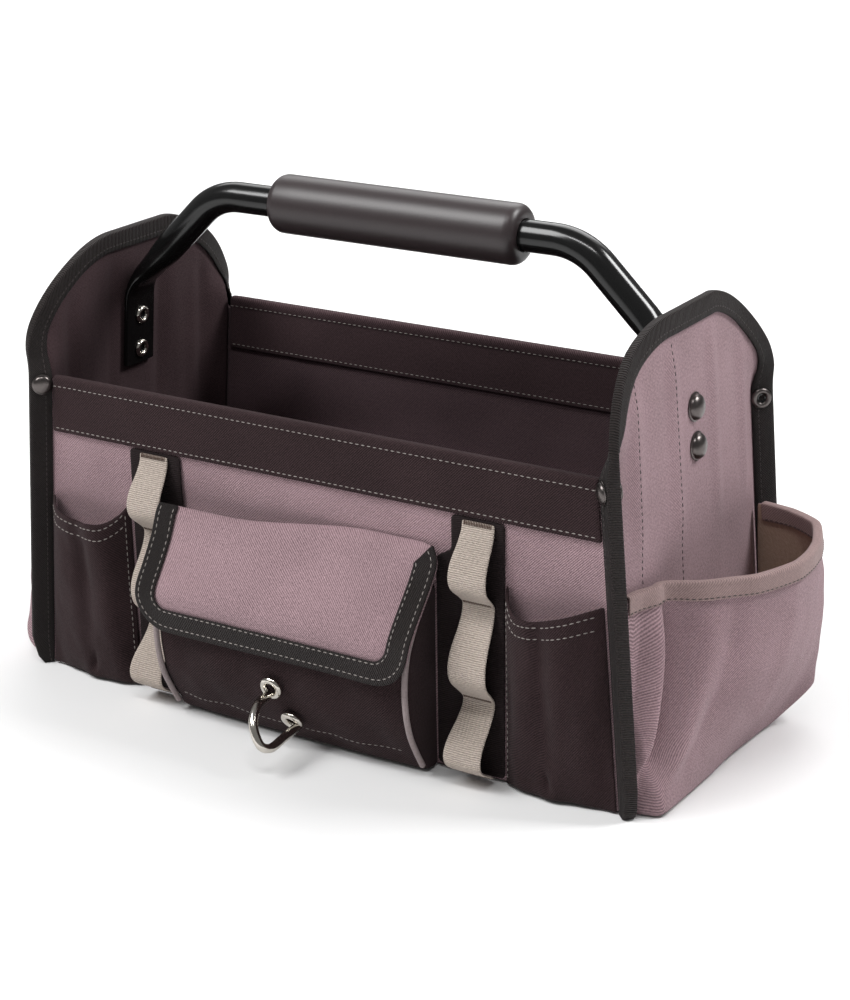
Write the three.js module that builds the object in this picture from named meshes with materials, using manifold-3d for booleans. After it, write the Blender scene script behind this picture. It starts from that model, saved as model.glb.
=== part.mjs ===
import * as THREE from 'three';
import { mergeVertices } from 'three/addons/utils/BufferGeometryUtils.js';
import Module from 'manifold-3d';

// An open-topped tool bag: a sewn cloth tray with two arched ends, bridged by a bent tube handle.
// Millimetres. X runs along the bag, Y from its front to its back, and Z up from the floor.

const wasm = await Module();
wasm.setup();

const { lerp, smoothstep, degToRad } = THREE.MathUtils;
const DIAGONAL = Math.SQRT1_2;

// Cloth, tape and the room left between pieces that are sewn together
const CLOTH = 2;
const TAPE = 1.2;
const WEB = 1.6;
const GAP = 0.4;
const LAYER = CLOTH + GAP;

// Tray: the long walls, and the seams that stand out diagonally at its four corners
const WALL_Y = 97;
const WALL_FOOT = 1;
const WALL_TOP = 205;
const BACK_RISE = 7;
const WALL_SHOULDER = 6;
const WALL_COLUMNS = 6;
const CORNER_X = 218;
const CORNER_LEAN = 0.0784;
const SEAM_WIDTH = 13.5;
const SEAM_TOP = 206;
const SEAM_FOOT = [
  { z: 0, share: 0.4 },
  { z: 6, share: 0.72 },
  { z: 20, share: 1 },
  { z: 300, share: 1 },
];
const SEAM_ROWS = [WALL_FOOT, 6, 20];
const BASE_THICKNESS = 3;
const BASE_GAP = 0.5;
const BAND_DROP = 38;
const BAND_THICKNESS = 1.8;
const BAND_LENGTH = 395;

// Arched ends: how far out the middle strip and the crease beside it stand at each height
const END_PROFILE = [
  { z: 0, strip: 222, crease: 220.5 },
  { z: 70, strip: 222, crease: 219 },
  { z: 140, strip: 217, crease: 213.5 },
  { z: 285, strip: 204.5, crease: 202.5 },
];
const STRIP_HALF = 26;
const CREASE_AT = 71;
const ROOT_AT = 96;
const EDGE_AT = ROOT_AT + SEAM_WIDTH;
const NORMAL_STEP = 0.5;
const END_COLUMNS = [0, STRIP_HALF, 50, CREASE_AT, 84, ROOT_AT, 102, 106, 108.5, EDGE_AT];
const END_LOW_ROWS = [...SEAM_ROWS, 70, 140, SEAM_TOP];
const END_ARCH_ROWS = 6;
const ARCH_TOP = 285;
const ARCH_SPRING = 222;
const ARCH_FLAT = 30;
const ARCH_ROUNDNESS = { front: 1.8, back: 1.5 };
const ARCH_BEGINS = 240;
const ARCH_FLARE = { from: 60, rate: 0.00245, narrowing: 0.93 };

// Binding tape round each end
const BINDING_ROOT_GAP = 0.5;
const BINDING_ARCH_LEG = 11.2;
const BINDING_GAP = 0.7;
const BINDING_EDGE = 0.6;
const BINDING_STEPS = [...SEAM_ROWS, SEAM_TOP, 212, 217];
const BINDING_CLOSES = { from: SEAM_TOP + 2, to: 220 };

// Handle: tube in the plane Y = 0, with flattened ends inside the end panels
const TUBE_RADIUS = 10;
const TUBE_SIDES = 12;
const PLATE = { halfWidth: 15, halfThickness: 2.1, top: 236, bottom: 190, squareness: 0.55 };
const GRIP = { radius: 19, length: 181, bore: 10.4, rounding: 7, height: 314, shift: 5, sides: 20 };
const LEG_ANGLE = degToRad(44);
const SHOULDER_RADIUS = 45;
const KNEE_RADIUS = 30;
const SHOULDER_STEPS = 5;
const KNEE_STEPS = 4;
const KNEE_FLATNESS = 0.42;
const LEG_STATIONS = [0.45, 0.75];

// Rivets
const HANDLE_RIVET = { head: 9, dome: 5.6, shank: 2.6, ring: 6.3, ringHeight: 2, gap: 0.3 };
const CORNER_RIVET = { head: 6.9, dome: 3.6, shank: 2.2, ring: 6.6, ringHeight: 1.6, gap: 0.3 };
const DOME_PROFILE = [
  { radius: 0, height: 1 },
  { radius: 0.5, height: 0.88 },
  { radius: 0.86, height: 0.5 },
  { radius: 1, height: 0 },
];
const RING_PROFILE = { rim: 0.85, eye: 0.45, sunk: 0.5 };
const HANDLE_RIVET_HEIGHTS = [224, 200];
const CORNER_RIVET_HEIGHT = 202;
const RIVET_SIDES = 8;
const HOLE_CLEARANCE = 0.4;
const HOLE_REACH = 30;

// Webbing on the front: a flat backing that is narrower above the pouch, and a strap tacked down between
// loops
const STRAP_X = { right: 122, left: 118 };
const BACKING = {
  outer: 139,
  foot: 3,
  top: 168.5,
  pouchGap: 0.8,
  stepFrom: 140,
  stepTo: 146,
  besideStrap: 20,
};
const LOOP_WIDTH = 25;
const LOOP_STEPS = 8;
const LOOPS = [
  { top: 167.5, bottom: 116, stand: 14 },
  { top: 116, bottom: 54, stand: 15 },
  { top: 54, bottom: 3, stand: 21 },
];
const LOOP_SAG = 1.16;

// Front corner pockets: across the pocket, how far the cloth stands off the wall at the hem, half way and
// the foot, and the hem's height, which drops to the outside on the left
const FRONT_POCKET = [
  { across: 0, hem: 0, hemZ: 132, belly: 0, foot: 0 },
  { across: 0.06, hem: 6, hemZ: 125, belly: 5, foot: 2 },
  { across: 0.17, hem: 14, hemZ: 120, belly: 12, foot: 6 },
  { across: 0.33, hem: 18, hemZ: 120.5, belly: 15, foot: 7 },
  { across: 0.46, hem: 17, hemZ: 121, belly: 12, foot: 9 },
  { across: 0.6, hem: 18, hemZ: 124, belly: 15, foot: 5 },
  { across: 0.76, hem: 14, hemZ: 127, belly: 12, foot: 3 },
  { across: 0.9, hem: 7, hemZ: 129.5, belly: 6, foot: 0 },
  { across: 1, hem: 0, hemZ: 131, belly: 0, foot: 0 },
];
const FRONT_POCKET_DROP = { right: 0, left: 6 };
const FRONT_POCKET_INNER = 140.5;
const FRONT_POCKET_OUTER_GAP = 3;
const FRONT_POCKET_FOOT = 1.6;
const FRONT_POCKET_BOTTOM_RISE = 1.4;
const FRONT_POCKET_ROWS = 6;

// Centre pouch: how far it stands off the wall at each height, and the share of that across it
const POUCH_X = -3;
const POUCH_PROFILE = [
  { z: 2.2, out: 0 },
  { z: 3, out: 10 },
  { z: 10, out: 15 },
  { z: 20, out: 21 },
  { z: 34, out: 28 },
  { z: 50, out: 32 },
  { z: 66, out: 33 },
  { z: 85, out: 30 },
  { z: 100, out: 22 },
  { z: 112, out: 14 },
  { z: 120, out: 9 },
];
const POUCH_ACROSS = [
  { x: 92.5, share: 0 },
  { x: 92.5, share: 0.5 },
  { x: 92.5, share: 0.93 },
  { x: 91, share: 1 },
  { x: 68, share: 1.07 },
  { x: 34, share: 1.13 },
  { x: 0, share: 1.15 },
];
const PIPING_RADIUS = 1.9;
const PIPING_STEPS = 12;
const PIPING_SPAN = { foot: 9, top: 114 };

// Flap: its run from the wall down over the pouch, how far its top slumps out and down at the left, and its
// tape border
const FLAP_PROFILE = [
  { y: -98.9, z: 147 },
  { y: -103.5, z: 144.5 },
  { y: -107.5, z: 138 },
  { y: -114, z: 128 },
  { y: -122, z: 118.5 },
  { y: -132, z: 107 },
  { y: -139.5, z: 97 },
  { y: -142.2, z: 88 },
  { y: -142, z: 70 },
];
const FLAP_HALF = 101;
const FLAP_CORNER = 24;
const FLAP_TOP_CORNER = { right: 16, left: 6 };
const FLAP_SLUMP = { out: 12, down: 6, fades: 60 };
const FLAP_BENDS = [1, 0.9, 0.71, 0.4, 0];
const FLAP_ROWS = 12;
const FLAP_BORDER = {
  width: 15,
  edge: 0.8,
  gap: 0.7,
  topTurn: degToRad(-55),
  cornerSteps: 5,
  sideSteps: [27, 37, 47, 57],
};

// End pockets: across the pocket, its place and stand-off from the end panel at the hem, half way and
// the foot, how far its foot is off the floor, and the slack that swells the left pocket's lower half
const END_POCKET = [
  { hemY: -94, hem: 2.6, belly: 2.6, footY: -94, foot: 6, lift: 0, slack: 0 },
  { hemY: -82, hem: 3.2, belly: 3.4, footY: -93, foot: 12, lift: 0, slack: 6 },
  { hemY: -66, hem: 5.6, belly: 10, footY: -90, foot: 21, lift: 0, slack: 18 },
  { hemY: -47, hem: 25, belly: 23, footY: -70, foot: 21, lift: 0, slack: 14 },
  { hemY: -24, hem: 48, belly: 38, footY: -38, foot: 20, lift: 0, slack: 6 },
  { hemY: 8, hem: 60, belly: 47, footY: 0, foot: 18.5, lift: 0, slack: 0 },
  { hemY: 44, hem: 58, belly: 49, footY: 52, foot: 23, lift: 0, slack: 0 },
  { hemY: 75, hem: 47, belly: 50, footY: 76, foot: 43, lift: 22, slack: 0 },
  { hemY: 87.5, hem: 28, belly: 41, footY: 87.5, foot: 35, lift: 26, slack: 0 },
  { hemY: 92, hem: 2.8, belly: 2.8, footY: 92, foot: 6, lift: 26, slack: 0 },
];
const PLAIN_ENDS = 3;
const END_POCKET_FOOT = 1.6;
const END_POCKET_HEM = 135;
const END_POCKET_BELLY_AT = 0.45;
const SLACK_SINK = 0.6;
const END_POCKET_ROWS = 6;
const END_POCKET_COLUMNS_PER_FOLD = 2;
const HEM_LEG = 10.5;
const HEM_GAP = 0.85;

// Wire hook on the pouch: two eyes flat on the cloth, and the bow between them, by how far it is down
// from the upper eye to the lower and how far out from the cloth
const HOOK_WIRE = 2.9;
const HOOK_EYE = { radius: 5.4, wire: 2.3 };
const HOOK_UPPER = { x: -4, z: 48, tail: -1.9 };
const HOOK_LOWER = { x: 4, z: 25, tail: -0.7 };
const HOOK_BOW = [
  { down: 0.06, out: 15 },
  { down: 0.4, out: 30 },
  { down: 0.88, out: 38 },
  { down: 1.08, out: 33 },
  { down: 1.05, out: 19 },
];
const HOOK_STEPS = 18;
const HOOK_EYE_STEPS = 12;
const CORD_SIDES = 8;

// Materials
const finish = (name, color, roughness, metalness) => {
  const material = new THREE.MeshStandardMaterial({ color, roughness, metalness });
  material.name = name;
  return material;
};
const canvasGrey = finish('grey_canvas', 0xa0908f, 0.92, 0);
const canvasBlack = finish('black_canvas', 0x2e2829, 0.92, 0);
const tapeBlack = finish('black_tape', 0x1e1c1b, 0.85, 0);
const hemGrey = finish('hem_tape', 0xa39a92, 0.9, 0);
const webBeige = finish('beige_webbing', 0xc9c0b4, 0.85, 0);
const tubePaint = finish('black_paint', 0x141414, 0.25, 0);
const gripFoam = finish('foam', 0x3a3536, 0.8, 0);
const gunmetal = finish('gunmetal', 0x4a4646, 0.3, 1);
const nickel = finish('bright_nickel', 0xc8c4be, 0.15, 1);

// A closed solid from points and triangles, turned so that its faces point out
function closedSolid(points, triangles) {
  let volume = 0;
  for (let t = 0; t < triangles.length; t += 3) {
    const [a, b, c] = [0, 1, 2].map((k) => points[triangles[t + k]]);
    volume += a.dot(b.clone().cross(c));
  }
  if (volume < 0) triangles.reverse();
  const geometry = new THREE.BufferGeometry().setFromPoints(points);
  geometry.setIndex(triangles);
  return geometry;
}

// Two triangles of a four-cornered patch, cut from its first corner or its second, so that both halves
// of a piece match
function halfTurned([a, b, c, d], fromFirst) {
  return fromFirst ? [a, b, c, a, c, d] : [a, b, d, b, c, d];
}

// A sheet of cloth: a grid of points in the middle of the cloth, given half its thickness on either side
function sheet(columns, rows, middle, thickness) {
  const grid = [];
  for (let i = 0; i < columns; i += 1) {
    for (let j = 0; j < rows; j += 1) grid.push(middle(i, j));
  }
  const at = (i, j) => grid[i * rows + j];
  const step = (count, k) => [Math.max(k - 1, 0), Math.min(k + 1, count - 1)];
  const normalAt = (i, j) => {
    const [left, right] = step(columns, i);
    const [low, high] = step(rows, j);
    const along = [at(right, j).clone().sub(at(i, j)), at(i, j).clone().sub(at(left, j))];
    const up = [at(i, high).clone().sub(at(i, j)), at(i, j).clone().sub(at(i, low))];
    const sum = (pair) => pair[0].normalize().add(pair[1].normalize());
    return sum(along).cross(sum(up)).normalize();
  };
  const points = [];
  for (const side of [1, -1]) {
    for (let i = 0; i < columns; i += 1) {
      for (let j = 0; j < rows; j += 1) {
        points.push(at(i, j).clone().addScaledVector(normalAt(i, j), (side * thickness) / 2));
      }
    }
  }
  const back = columns * rows;
  const triangles = [];
  for (let i = 0; i + 1 < columns; i += 1) {
    for (let j = 0; j + 1 < rows; j += 1) {
      const a = i * rows + j;
      const corners = halfTurned([a, a + rows, a + rows + 1, a + 1], i < (columns - 1) / 2);
      const other = corners.map((corner) => back + corner).reverse();
      triangles.push(...corners, ...other);
    }
  }
  const rim = [];
  for (let i = 0; i + 1 < columns; i += 1) rim.push(i * rows);
  for (let j = 0; j + 1 < rows; j += 1) rim.push((columns - 1) * rows + j);
  for (let i = columns - 1; i > 0; i -= 1) rim.push(i * rows + rows - 1);
  for (let j = rows - 1; j > 0; j -= 1) rim.push(j);
  rim.forEach((a, k) => {
    const b = rim[(k + 1) % rim.length];
    triangles.push(a, back + a, back + b, a, back + b, b);
  });
  return closedSolid(points, triangles);
}

// A solid through a row of rings with equal counts of points, closed by a flat face at each end
function loft(rings, section) {
  const count = section.length;
  const last = (rings.length - 1) * count;
  const triangles = [];
  for (let start = 0; start < last; start += count) {
    for (let k = 0; k < count; k += 1) {
      const a = start + k;
      const b = start + ((k + 1) % count);
      triangles.push(...halfTurned([a, b, b + count, a + count], start < last / 2));
    }
  }
  for (const [a, b, c] of THREE.ShapeUtils.triangulateShape(section, [])) {
    triangles.push(a, c, b, last + a, last + b, last + c);
  }
  return closedSolid(rings.flat(), triangles);
}

// Tape folded over an edge: each station has the edge, the way in from it, the cloth's normal, the tape's
// leg along the way in, and the cloth's depth on the normal's side and on the other
function foldedTape(stations, thickness, edgeGap) {
  const outline = ({ leg, over, under }) => [
    [leg, over],
    [leg, over + thickness],
    [-edgeGap, over + thickness],
    [-edgeGap - thickness, over],
    [-edgeGap - thickness, -under],
    [-edgeGap, -under - thickness],
    [leg, -under - thickness],
    [leg, -under],
    [-edgeGap, -under],
    [-edgeGap, over],
  ];
  const rings = stations.map((station) => outline(station).map(([a, h]) => (
    station.edge.clone().addScaledVector(station.inward, a).addScaledVector(station.normal, h)
  )));
  return loft(rings, outline(stations[0]).map(([a, h]) => new THREE.Vector2(a, h)));
}

function toManifold(geometry) {
  const plain = geometry.clone();
  plain.deleteAttribute('normal');
  plain.deleteAttribute('uv');
  const merged = mergeVertices(plain);
  const vertProperties = new Float32Array(merged.attributes.position.array);
  const triVerts = new Uint32Array(merged.index.array);
  return new wasm.Manifold(new wasm.Mesh({ numProp: 3, vertProperties, triVerts }));
}

function fromManifold(solid) {
  const { vertProperties, triVerts } = solid.getMesh();
  const geometry = new THREE.BufferGeometry();
  geometry.setAttribute('position', new THREE.BufferAttribute(vertProperties, 3));
  geometry.setIndex(new THREE.BufferAttribute(triVerts, 1));
  return geometry;
}

// Holes for rivets, each along its rivet's axis
function drilled(geometry, rivets, shank) {
  let solid = toManifold(geometry);
  for (const { origin, axis } of rivets) {
    const radius = shank + HOLE_CLEARANCE;
    const bit = new THREE.CylinderGeometry(radius, radius, HOLE_REACH, RIVET_SIDES);
    bit.applyQuaternion(new THREE.Quaternion().setFromUnitVectors(new THREE.Vector3(0, 1, 0), axis));
    bit.translate(origin.x, origin.y, origin.z);
    solid = solid.subtract(toManifold(bit));
  }
  return fromManifold(solid);
}

// The same piece on the bag's other side
function mirrored(geometry, axis) {
  const scale = new THREE.Vector3(1, 1, 1).setComponent(axis, -1);
  const copy = mergeVertices(geometry);
  copy.scale(scale.x, scale.y, scale.z);
  copy.setIndex(Array.from(copy.index.array).reverse());
  return copy;
}

const group = new THREE.Group();
group.name = 'tool_bag';

function place(name, geometry, material) {
  const mesh = new THREE.Mesh(geometry, material);
  mesh.name = name;
  group.add(mesh);
}

function placePair(name, geometry, material) {
  place(`${name}_right`, geometry, material);
  place(`${name}_left`, mirrored(geometry, 0), material);
}

// Straight-line reading of a table between the rows on either side
function readTable(table, key, value, column) {
  const after = Math.max(1, table.findIndex((row) => row[key] >= value));
  const [low, high] = [table[after - 1], table[after]];
  return lerp(low[column], high[column], (value - low[key]) / (high[key] - low[key]));
}

// Corner seams: where the long wall turns out, at each height
const wallRootX = (z) => CORNER_X - CORNER_LEAN * z;

// Share of a corner seam's width at each height: its lower corner is rounded off
const seamShare = (z) => readTable(SEAM_FOOT, 'z', z, 'share');

// Middle of a long wall's cloth: on each side its columns are the seam's edge, its root, where it turns
// out at 45 degrees, and a shoulder from which the wall rises
function wallPoint(column, z, rise) {
  const inwards = Math.min(column, WALL_COLUMNS - 1 - column);
  const side = column < WALL_COLUMNS / 2 ? -1 : 1;
  const away = inwards === 0 ? SEAM_WIDTH * DIAGONAL * seamShare(z) : 0;
  if (inwards < 2) return new THREE.Vector3(side * (wallRootX(z) + away), -WALL_Y - away, z);
  return new THREE.Vector3(side * (wallRootX(z) - WALL_SHOULDER), -WALL_Y, z + rise);
}

// Middle of the right end's cloth, at a distance s across it from its centre line
function endPoint(s, z) {
  const across = Math.abs(s);
  const strip = readTable(END_PROFILE, 'z', z, 'strip');
  const crease = readTable(END_PROFILE, 'z', z, 'crease');
  const rootX = wallRootX(z) + LAYER * DIAGONAL;
  const rootY = WALL_Y - LAYER * DIAGONAL;
  const toCrease = THREE.MathUtils.clamp((across - STRIP_HALF) / (CREASE_AT - STRIP_HALF), 0, 1);
  const toRoot = THREE.MathUtils.clamp((across - CREASE_AT) / (ROOT_AT - CREASE_AT), 0, 1);
  const seam = Math.max(across - ROOT_AT, 0) * DIAGONAL * seamShare(z);
  const plainX = lerp(strip, crease, toCrease);
  const lowX = lerp(plainX, rootX, toRoot) + seam;
  const lowY = lerp(Math.min(across, CREASE_AT), rootY, toRoot) + seam;
  const highX = plainX + ARCH_FLARE.rate * Math.max(across - ARCH_FLARE.from, 0) ** 2;
  const highY = Math.min(across, CREASE_AT) + ARCH_FLARE.narrowing * Math.max(across - CREASE_AT, 0);
  const arch = smoothstep(z, SEAM_TOP, ARCH_BEGINS);
  return new THREE.Vector3(lerp(lowX, highX, arch), Math.sign(s) * lerp(lowY, highY, arch), z);
}

function endNormal(s, z) {
  const reach = s < 0 ? NORMAL_STEP : -NORMAL_STEP;
  const across = endPoint(s + reach, z).sub(endPoint(s + 2 * reach, z));
  const up = endPoint(s, z).sub(endPoint(s, z - Math.abs(reach)));
  const normal = across.cross(up).normalize();
  return normal.x < 0 ? normal.negate() : normal;
}

const archRoundness = (s) => (s < 0 ? ARCH_ROUNDNESS.front : ARCH_ROUNDNESS.back);

function archTop(s) {
  const roundness = archRoundness(s);
  const bend = Math.max(Math.abs(s) - ARCH_FLAT, 0) / (EDGE_AT - ARCH_FLAT);
  const rise = Math.max(1 - bend ** roundness, 0) ** (1 / roundness);
  return lerp(ARCH_SPRING, ARCH_TOP, rise);
}

// Rivets on the right: two through the middle strip and the handle's end, one through each corner seam
const stripSlope = Math.atan2(
  END_PROFILE[2].strip - END_PROFILE[3].strip,
  END_PROFILE[3].z - END_PROFILE[2].z,
);
const stripNormal = new THREE.Vector3(Math.cos(stripSlope), 0, Math.sin(stripSlope));
const handleRivets = HANDLE_RIVET_HEIGHTS.map((z) => ({ origin: endPoint(0, z), axis: stripNormal }));
const cornerRivets = [-1, 1].map((front) => {
  const middle = endPoint(front * (ROOT_AT + SEAM_WIDTH / 2), CORNER_RIVET_HEIGHT);
  const axis = new THREE.Vector3(-1, front, -CORNER_LEAN).normalize();
  return { origin: middle.addScaledVector(axis, LAYER / 2), axis };
});

const onOtherEnd = ({ origin, axis }) => ({
  origin: origin.clone().setX(-origin.x),
  axis: axis.clone().setX(-axis.x),
});

function basePanel() {
  const reach = [ROOT_AT - 2, CREASE_AT, STRIP_HALF];
  const halfDepth = WALL_Y - CLOTH / 2 - BASE_GAP;
  const quarter = reach.map((s) => {
    const edge = endPoint(s, 0);
    return [edge.x - CLOTH / 2 - BASE_GAP - GAP, Math.min(edge.y, halfDepth)];
  });
  const half = [...quarter, ...quarter.toReversed().map(([x, y]) => [x, -y])];
  const outline = [...half, ...half.map(([x, y]) => [-x, -y])];
  const shape = new THREE.Shape(outline.map(([x, y]) => new THREE.Vector2(x, y)));
  return new THREE.ExtrudeGeometry(shape, { depth: BASE_THICKNESS, bevelEnabled: false });
}

function longWall(rise) {
  const heights = [...SEAM_ROWS, WALL_TOP];
  const riseAt = (z) => (z === WALL_TOP ? rise : 0);
  const point = (i, j) => wallPoint(i, heights[j], riseAt(heights[j]));
  const cloth = sheet(WALL_COLUMNS, heights.length, point, CLOTH);
  const [front] = cornerRivets;
  return drilled(cloth, [front, onOtherEnd(front)], CORNER_RIVET.shank);
}

function endPanel() {
  const columns = [...END_COLUMNS.slice(1).toReversed().map((s) => -s), ...END_COLUMNS];
  const low = END_LOW_ROWS.length;
  const cloth = sheet(columns.length, low + END_ARCH_ROWS, (i, j) => {
    const s = columns[i];
    const rise = (j - low + 1) / END_ARCH_ROWS;
    return endPoint(s, j < low ? END_LOW_ROWS[j] : lerp(SEAM_TOP, archTop(s), rise));
  }, CLOTH);
  const withHandleHoles = drilled(cloth, handleRivets, HANDLE_RIVET.shank);
  return drilled(withHandleHoles, cornerRivets, CORNER_RIVET.shank);
}

// One station of the binding at a point of the end's edge, where (ds, dz) is the way in from the edge
function bindingStation(s, z, ds, dz) {
  const edge = endPoint(s, z);
  const closed = THREE.MathUtils.clamp(
    (z - BINDING_CLOSES.from) / (BINDING_CLOSES.to - BINDING_CLOSES.from), 0, 1,
  );
  const leg = lerp(SEAM_WIDTH * seamShare(z) - BINDING_ROOT_GAP, BINDING_ARCH_LEG, closed);
  const inner = endPoint(s + ds * (SEAM_WIDTH - BINDING_ROOT_GAP), z + dz * leg);
  const inward = inner.sub(edge).normalize();
  const normal = endNormal(s, z);
  normal.addScaledVector(inward, -normal.dot(inward)).normalize();
  const over = CLOTH / 2 + BINDING_GAP;
  return { edge, inward, normal, leg, over, under: lerp(over + LAYER, over, closed) };
}

function binding() {
  const rising = BINDING_STEPS.map((z) => [z, EDGE_AT]);
  const half = (way) => {
    const arching = END_COLUMNS.toReversed().map((s) => [archTop(way * s), s]);
    const slope = (reach, size) => (Math.max(reach, 0) / size) ** (ARCH_ROUNDNESS.front - 1) / size;
    return [...rising, ...arching].map(([z, s]) => {
      const slopeS = slope(s - ARCH_FLAT, EDGE_AT - ARCH_FLAT);
      const slopeZ = slope(z - ARCH_SPRING, ARCH_TOP - ARCH_SPRING);
      const length = Math.hypot(slopeS, slopeZ);
      return bindingStation(way * s, z, (-way * slopeS) / length, -slopeZ / length);
    });
  };
  const stations = [...half(-1), ...half(1).slice(0, -1).toReversed()];
  const tape = foldedTape(stations, TAPE, BINDING_EDGE);
  return drilled(tape, cornerRivets, CORNER_RIVET.shank);
}

function topBand(rise) {
  const outer = WALL_Y + CLOTH / 2 + GAP;
  const inner = WALL_Y - CLOTH / 2 - GAP;
  const top = WALL_TOP + rise + GAP;
  const bottom = top + BAND_THICKNESS - BAND_DROP;
  const outline = [
    [-outer, bottom],
    [-outer, top],
    [-inner, top],
    [-inner, bottom],
    [-inner + BAND_THICKNESS, bottom],
    [-inner + BAND_THICKNESS, top + BAND_THICKNESS],
    [-outer - BAND_THICKNESS, top + BAND_THICKNESS],
    [-outer - BAND_THICKNESS, bottom],
  ];
  const shape = new THREE.Shape(outline.map(([y, z]) => new THREE.Vector2(y, z)));
  const band = new THREE.ExtrudeGeometry(shape, { depth: BAND_LENGTH, bevelEnabled: false });
  band.translate(0, 0, -BAND_LENGTH / 2);
  const [alongX, alongY, alongZ] = [[1, 0, 0], [0, 1, 0], [0, 0, 1]].map((v) => new THREE.Vector3(...v));
  return band.applyMatrix4(new THREE.Matrix4().makeBasis(alongY, alongZ, alongX));
}

// Middle of cloth that lies flat on the front wall
const FRONT_LIE = -WALL_Y - CLOTH / 2 - GAP - CLOTH / 2;

function frontPocket(drop) {
  const foldsOf = (v) => (row) => {
    const bulge = 4 * v * (1 - v);
    return lerp(row.foot, row.hem, v) + bulge * (row.belly - (row.foot + row.hem) / 2);
  };
  return sheet(FRONT_POCKET.length, FRONT_POCKET_ROWS + 1, (i, j) => {
    const v = (j - 1) / (FRONT_POCKET_ROWS - 1);
    const row = FRONT_POCKET[i];
    const hemZ = row.hemZ - drop * row.across;
    const z = j > 0 ? lerp(FRONT_POCKET_FOOT + FRONT_POCKET_BOTTOM_RISE, hemZ, v) : FRONT_POCKET_FOOT;
    const x = lerp(FRONT_POCKET_INNER, wallRootX(z) - FRONT_POCKET_OUTER_GAP, row.across);
    const stand = j > 0 ? foldsOf(v)(row) : 0;
    return new THREE.Vector3(x, FRONT_LIE - stand, z);
  }, CLOTH);
}

// Middle of the pouch's cloth: x from the pouch's centre line, and a share of its stand-off
function pouchPoint(x, share, z) {
  const out = readTable(POUCH_PROFILE, 'z', z, 'out');
  const seam = -WALL_Y - CLOTH / 2 - GAP;
  return new THREE.Vector3(POUCH_X + x, seam - share * (out + CLOTH / 2), z);
}

const pouchAcross = [
  ...POUCH_ACROSS.map(({ x, share }) => ({ x: -x, share })),
  ...POUCH_ACROSS.slice(0, -1).toReversed(),
];

function centrePouch() {
  return sheet(pouchAcross.length, POUCH_PROFILE.length, (i, j) => {
    const { x, share } = pouchAcross[i];
    return pouchPoint(x, share, POUCH_PROFILE[j].z);
  }, CLOTH);
}

const roundSection = (radius, sides) => {
  const corners = Array.from({ length: sides }, (_, k) => (k * 2 * Math.PI) / sides);
  return new THREE.Shape(corners.map((a) => new THREE.Vector2(radius * Math.cos(a), radius * Math.sin(a))));
};

function pouchPiping(side) {
  const corner = POUCH_ACROSS[3];
  const stand = CLOTH / 2 + GAP + PIPING_RADIUS;
  const { foot, top } = PIPING_SPAN;
  const heights = POUCH_PROFILE.map((row) => row.z).filter((z) => z > foot && z < top);
  const path = [foot, ...heights, top].map((z) => {
    const point = pouchPoint(side * corner.x, corner.share, z);
    return point.addScaledVector(pouchFacing(z), stand * DIAGONAL).setX(point.x + side * stand * DIAGONAL);
  });
  return new THREE.ExtrudeGeometry(roundSection(PIPING_RADIUS, CORD_SIDES), {
    extrudePath: new THREE.CatmullRomCurve3(path),
    steps: PIPING_STEPS,
    bevelEnabled: false,
  });
}

// The flap's run, smooth from the wall to its lower edge
const flapRun = new THREE.CatmullRomCurve3(FLAP_PROFILE.map(({ y, z }) => new THREE.Vector3(0, y, z)));
const FLAP_LENGTH = flapRun.getLength();

function flapPoint(x, down, stand = 0) {
  const share = THREE.MathUtils.clamp(down / FLAP_LENGTH, 0, 1);
  const point = flapRun.getPointAt(share);
  const along = flapRun.getTangentAt(share);
  const beyond = down - share * FLAP_LENGTH;
  point.addScaledVector(along, beyond);
  point.add(new THREE.Vector3(0, along.z, -along.y).multiplyScalar(stand));
  const towardsLeft = THREE.MathUtils.smoothstep(-x, -FLAP_HALF / 2, FLAP_HALF / 2);
  const slump = towardsLeft * THREE.MathUtils.smoothstep(FLAP_SLUMP.fades - down, 0, FLAP_SLUMP.fades);
  return new THREE.Vector3(POUCH_X + x, point.y - FLAP_SLUMP.out * slump, point.z - FLAP_SLUMP.down * slump);
}

const topCorner = (x) => (x < 0 ? FLAP_TOP_CORNER.left : FLAP_TOP_CORNER.right);

// How much a rounded corner of the flap takes off its side at a place across it
function cornerLoss(x, radius) {
  const beyond = Math.max(Math.abs(x) - FLAP_HALF + radius, 0);
  return radius - Math.sqrt(radius ** 2 - beyond ** 2);
}

function pocketFlap() {
  const bends = FLAP_BENDS.map((share) => FLAP_HALF + (share - 1) * FLAP_CORNER);
  const columns = [...bends.map((x) => -x), 0, ...bends.toReversed()];
  return sheet(columns.length, FLAP_ROWS, (i, j) => {
    const x = columns[i];
    const [from, to] = [cornerLoss(x, topCorner(x)), FLAP_LENGTH - cornerLoss(x, FLAP_CORNER)];
    return flapPoint(x, lerp(from, to, j / (FLAP_ROWS - 1)));
  }, CLOTH);
}

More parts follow.
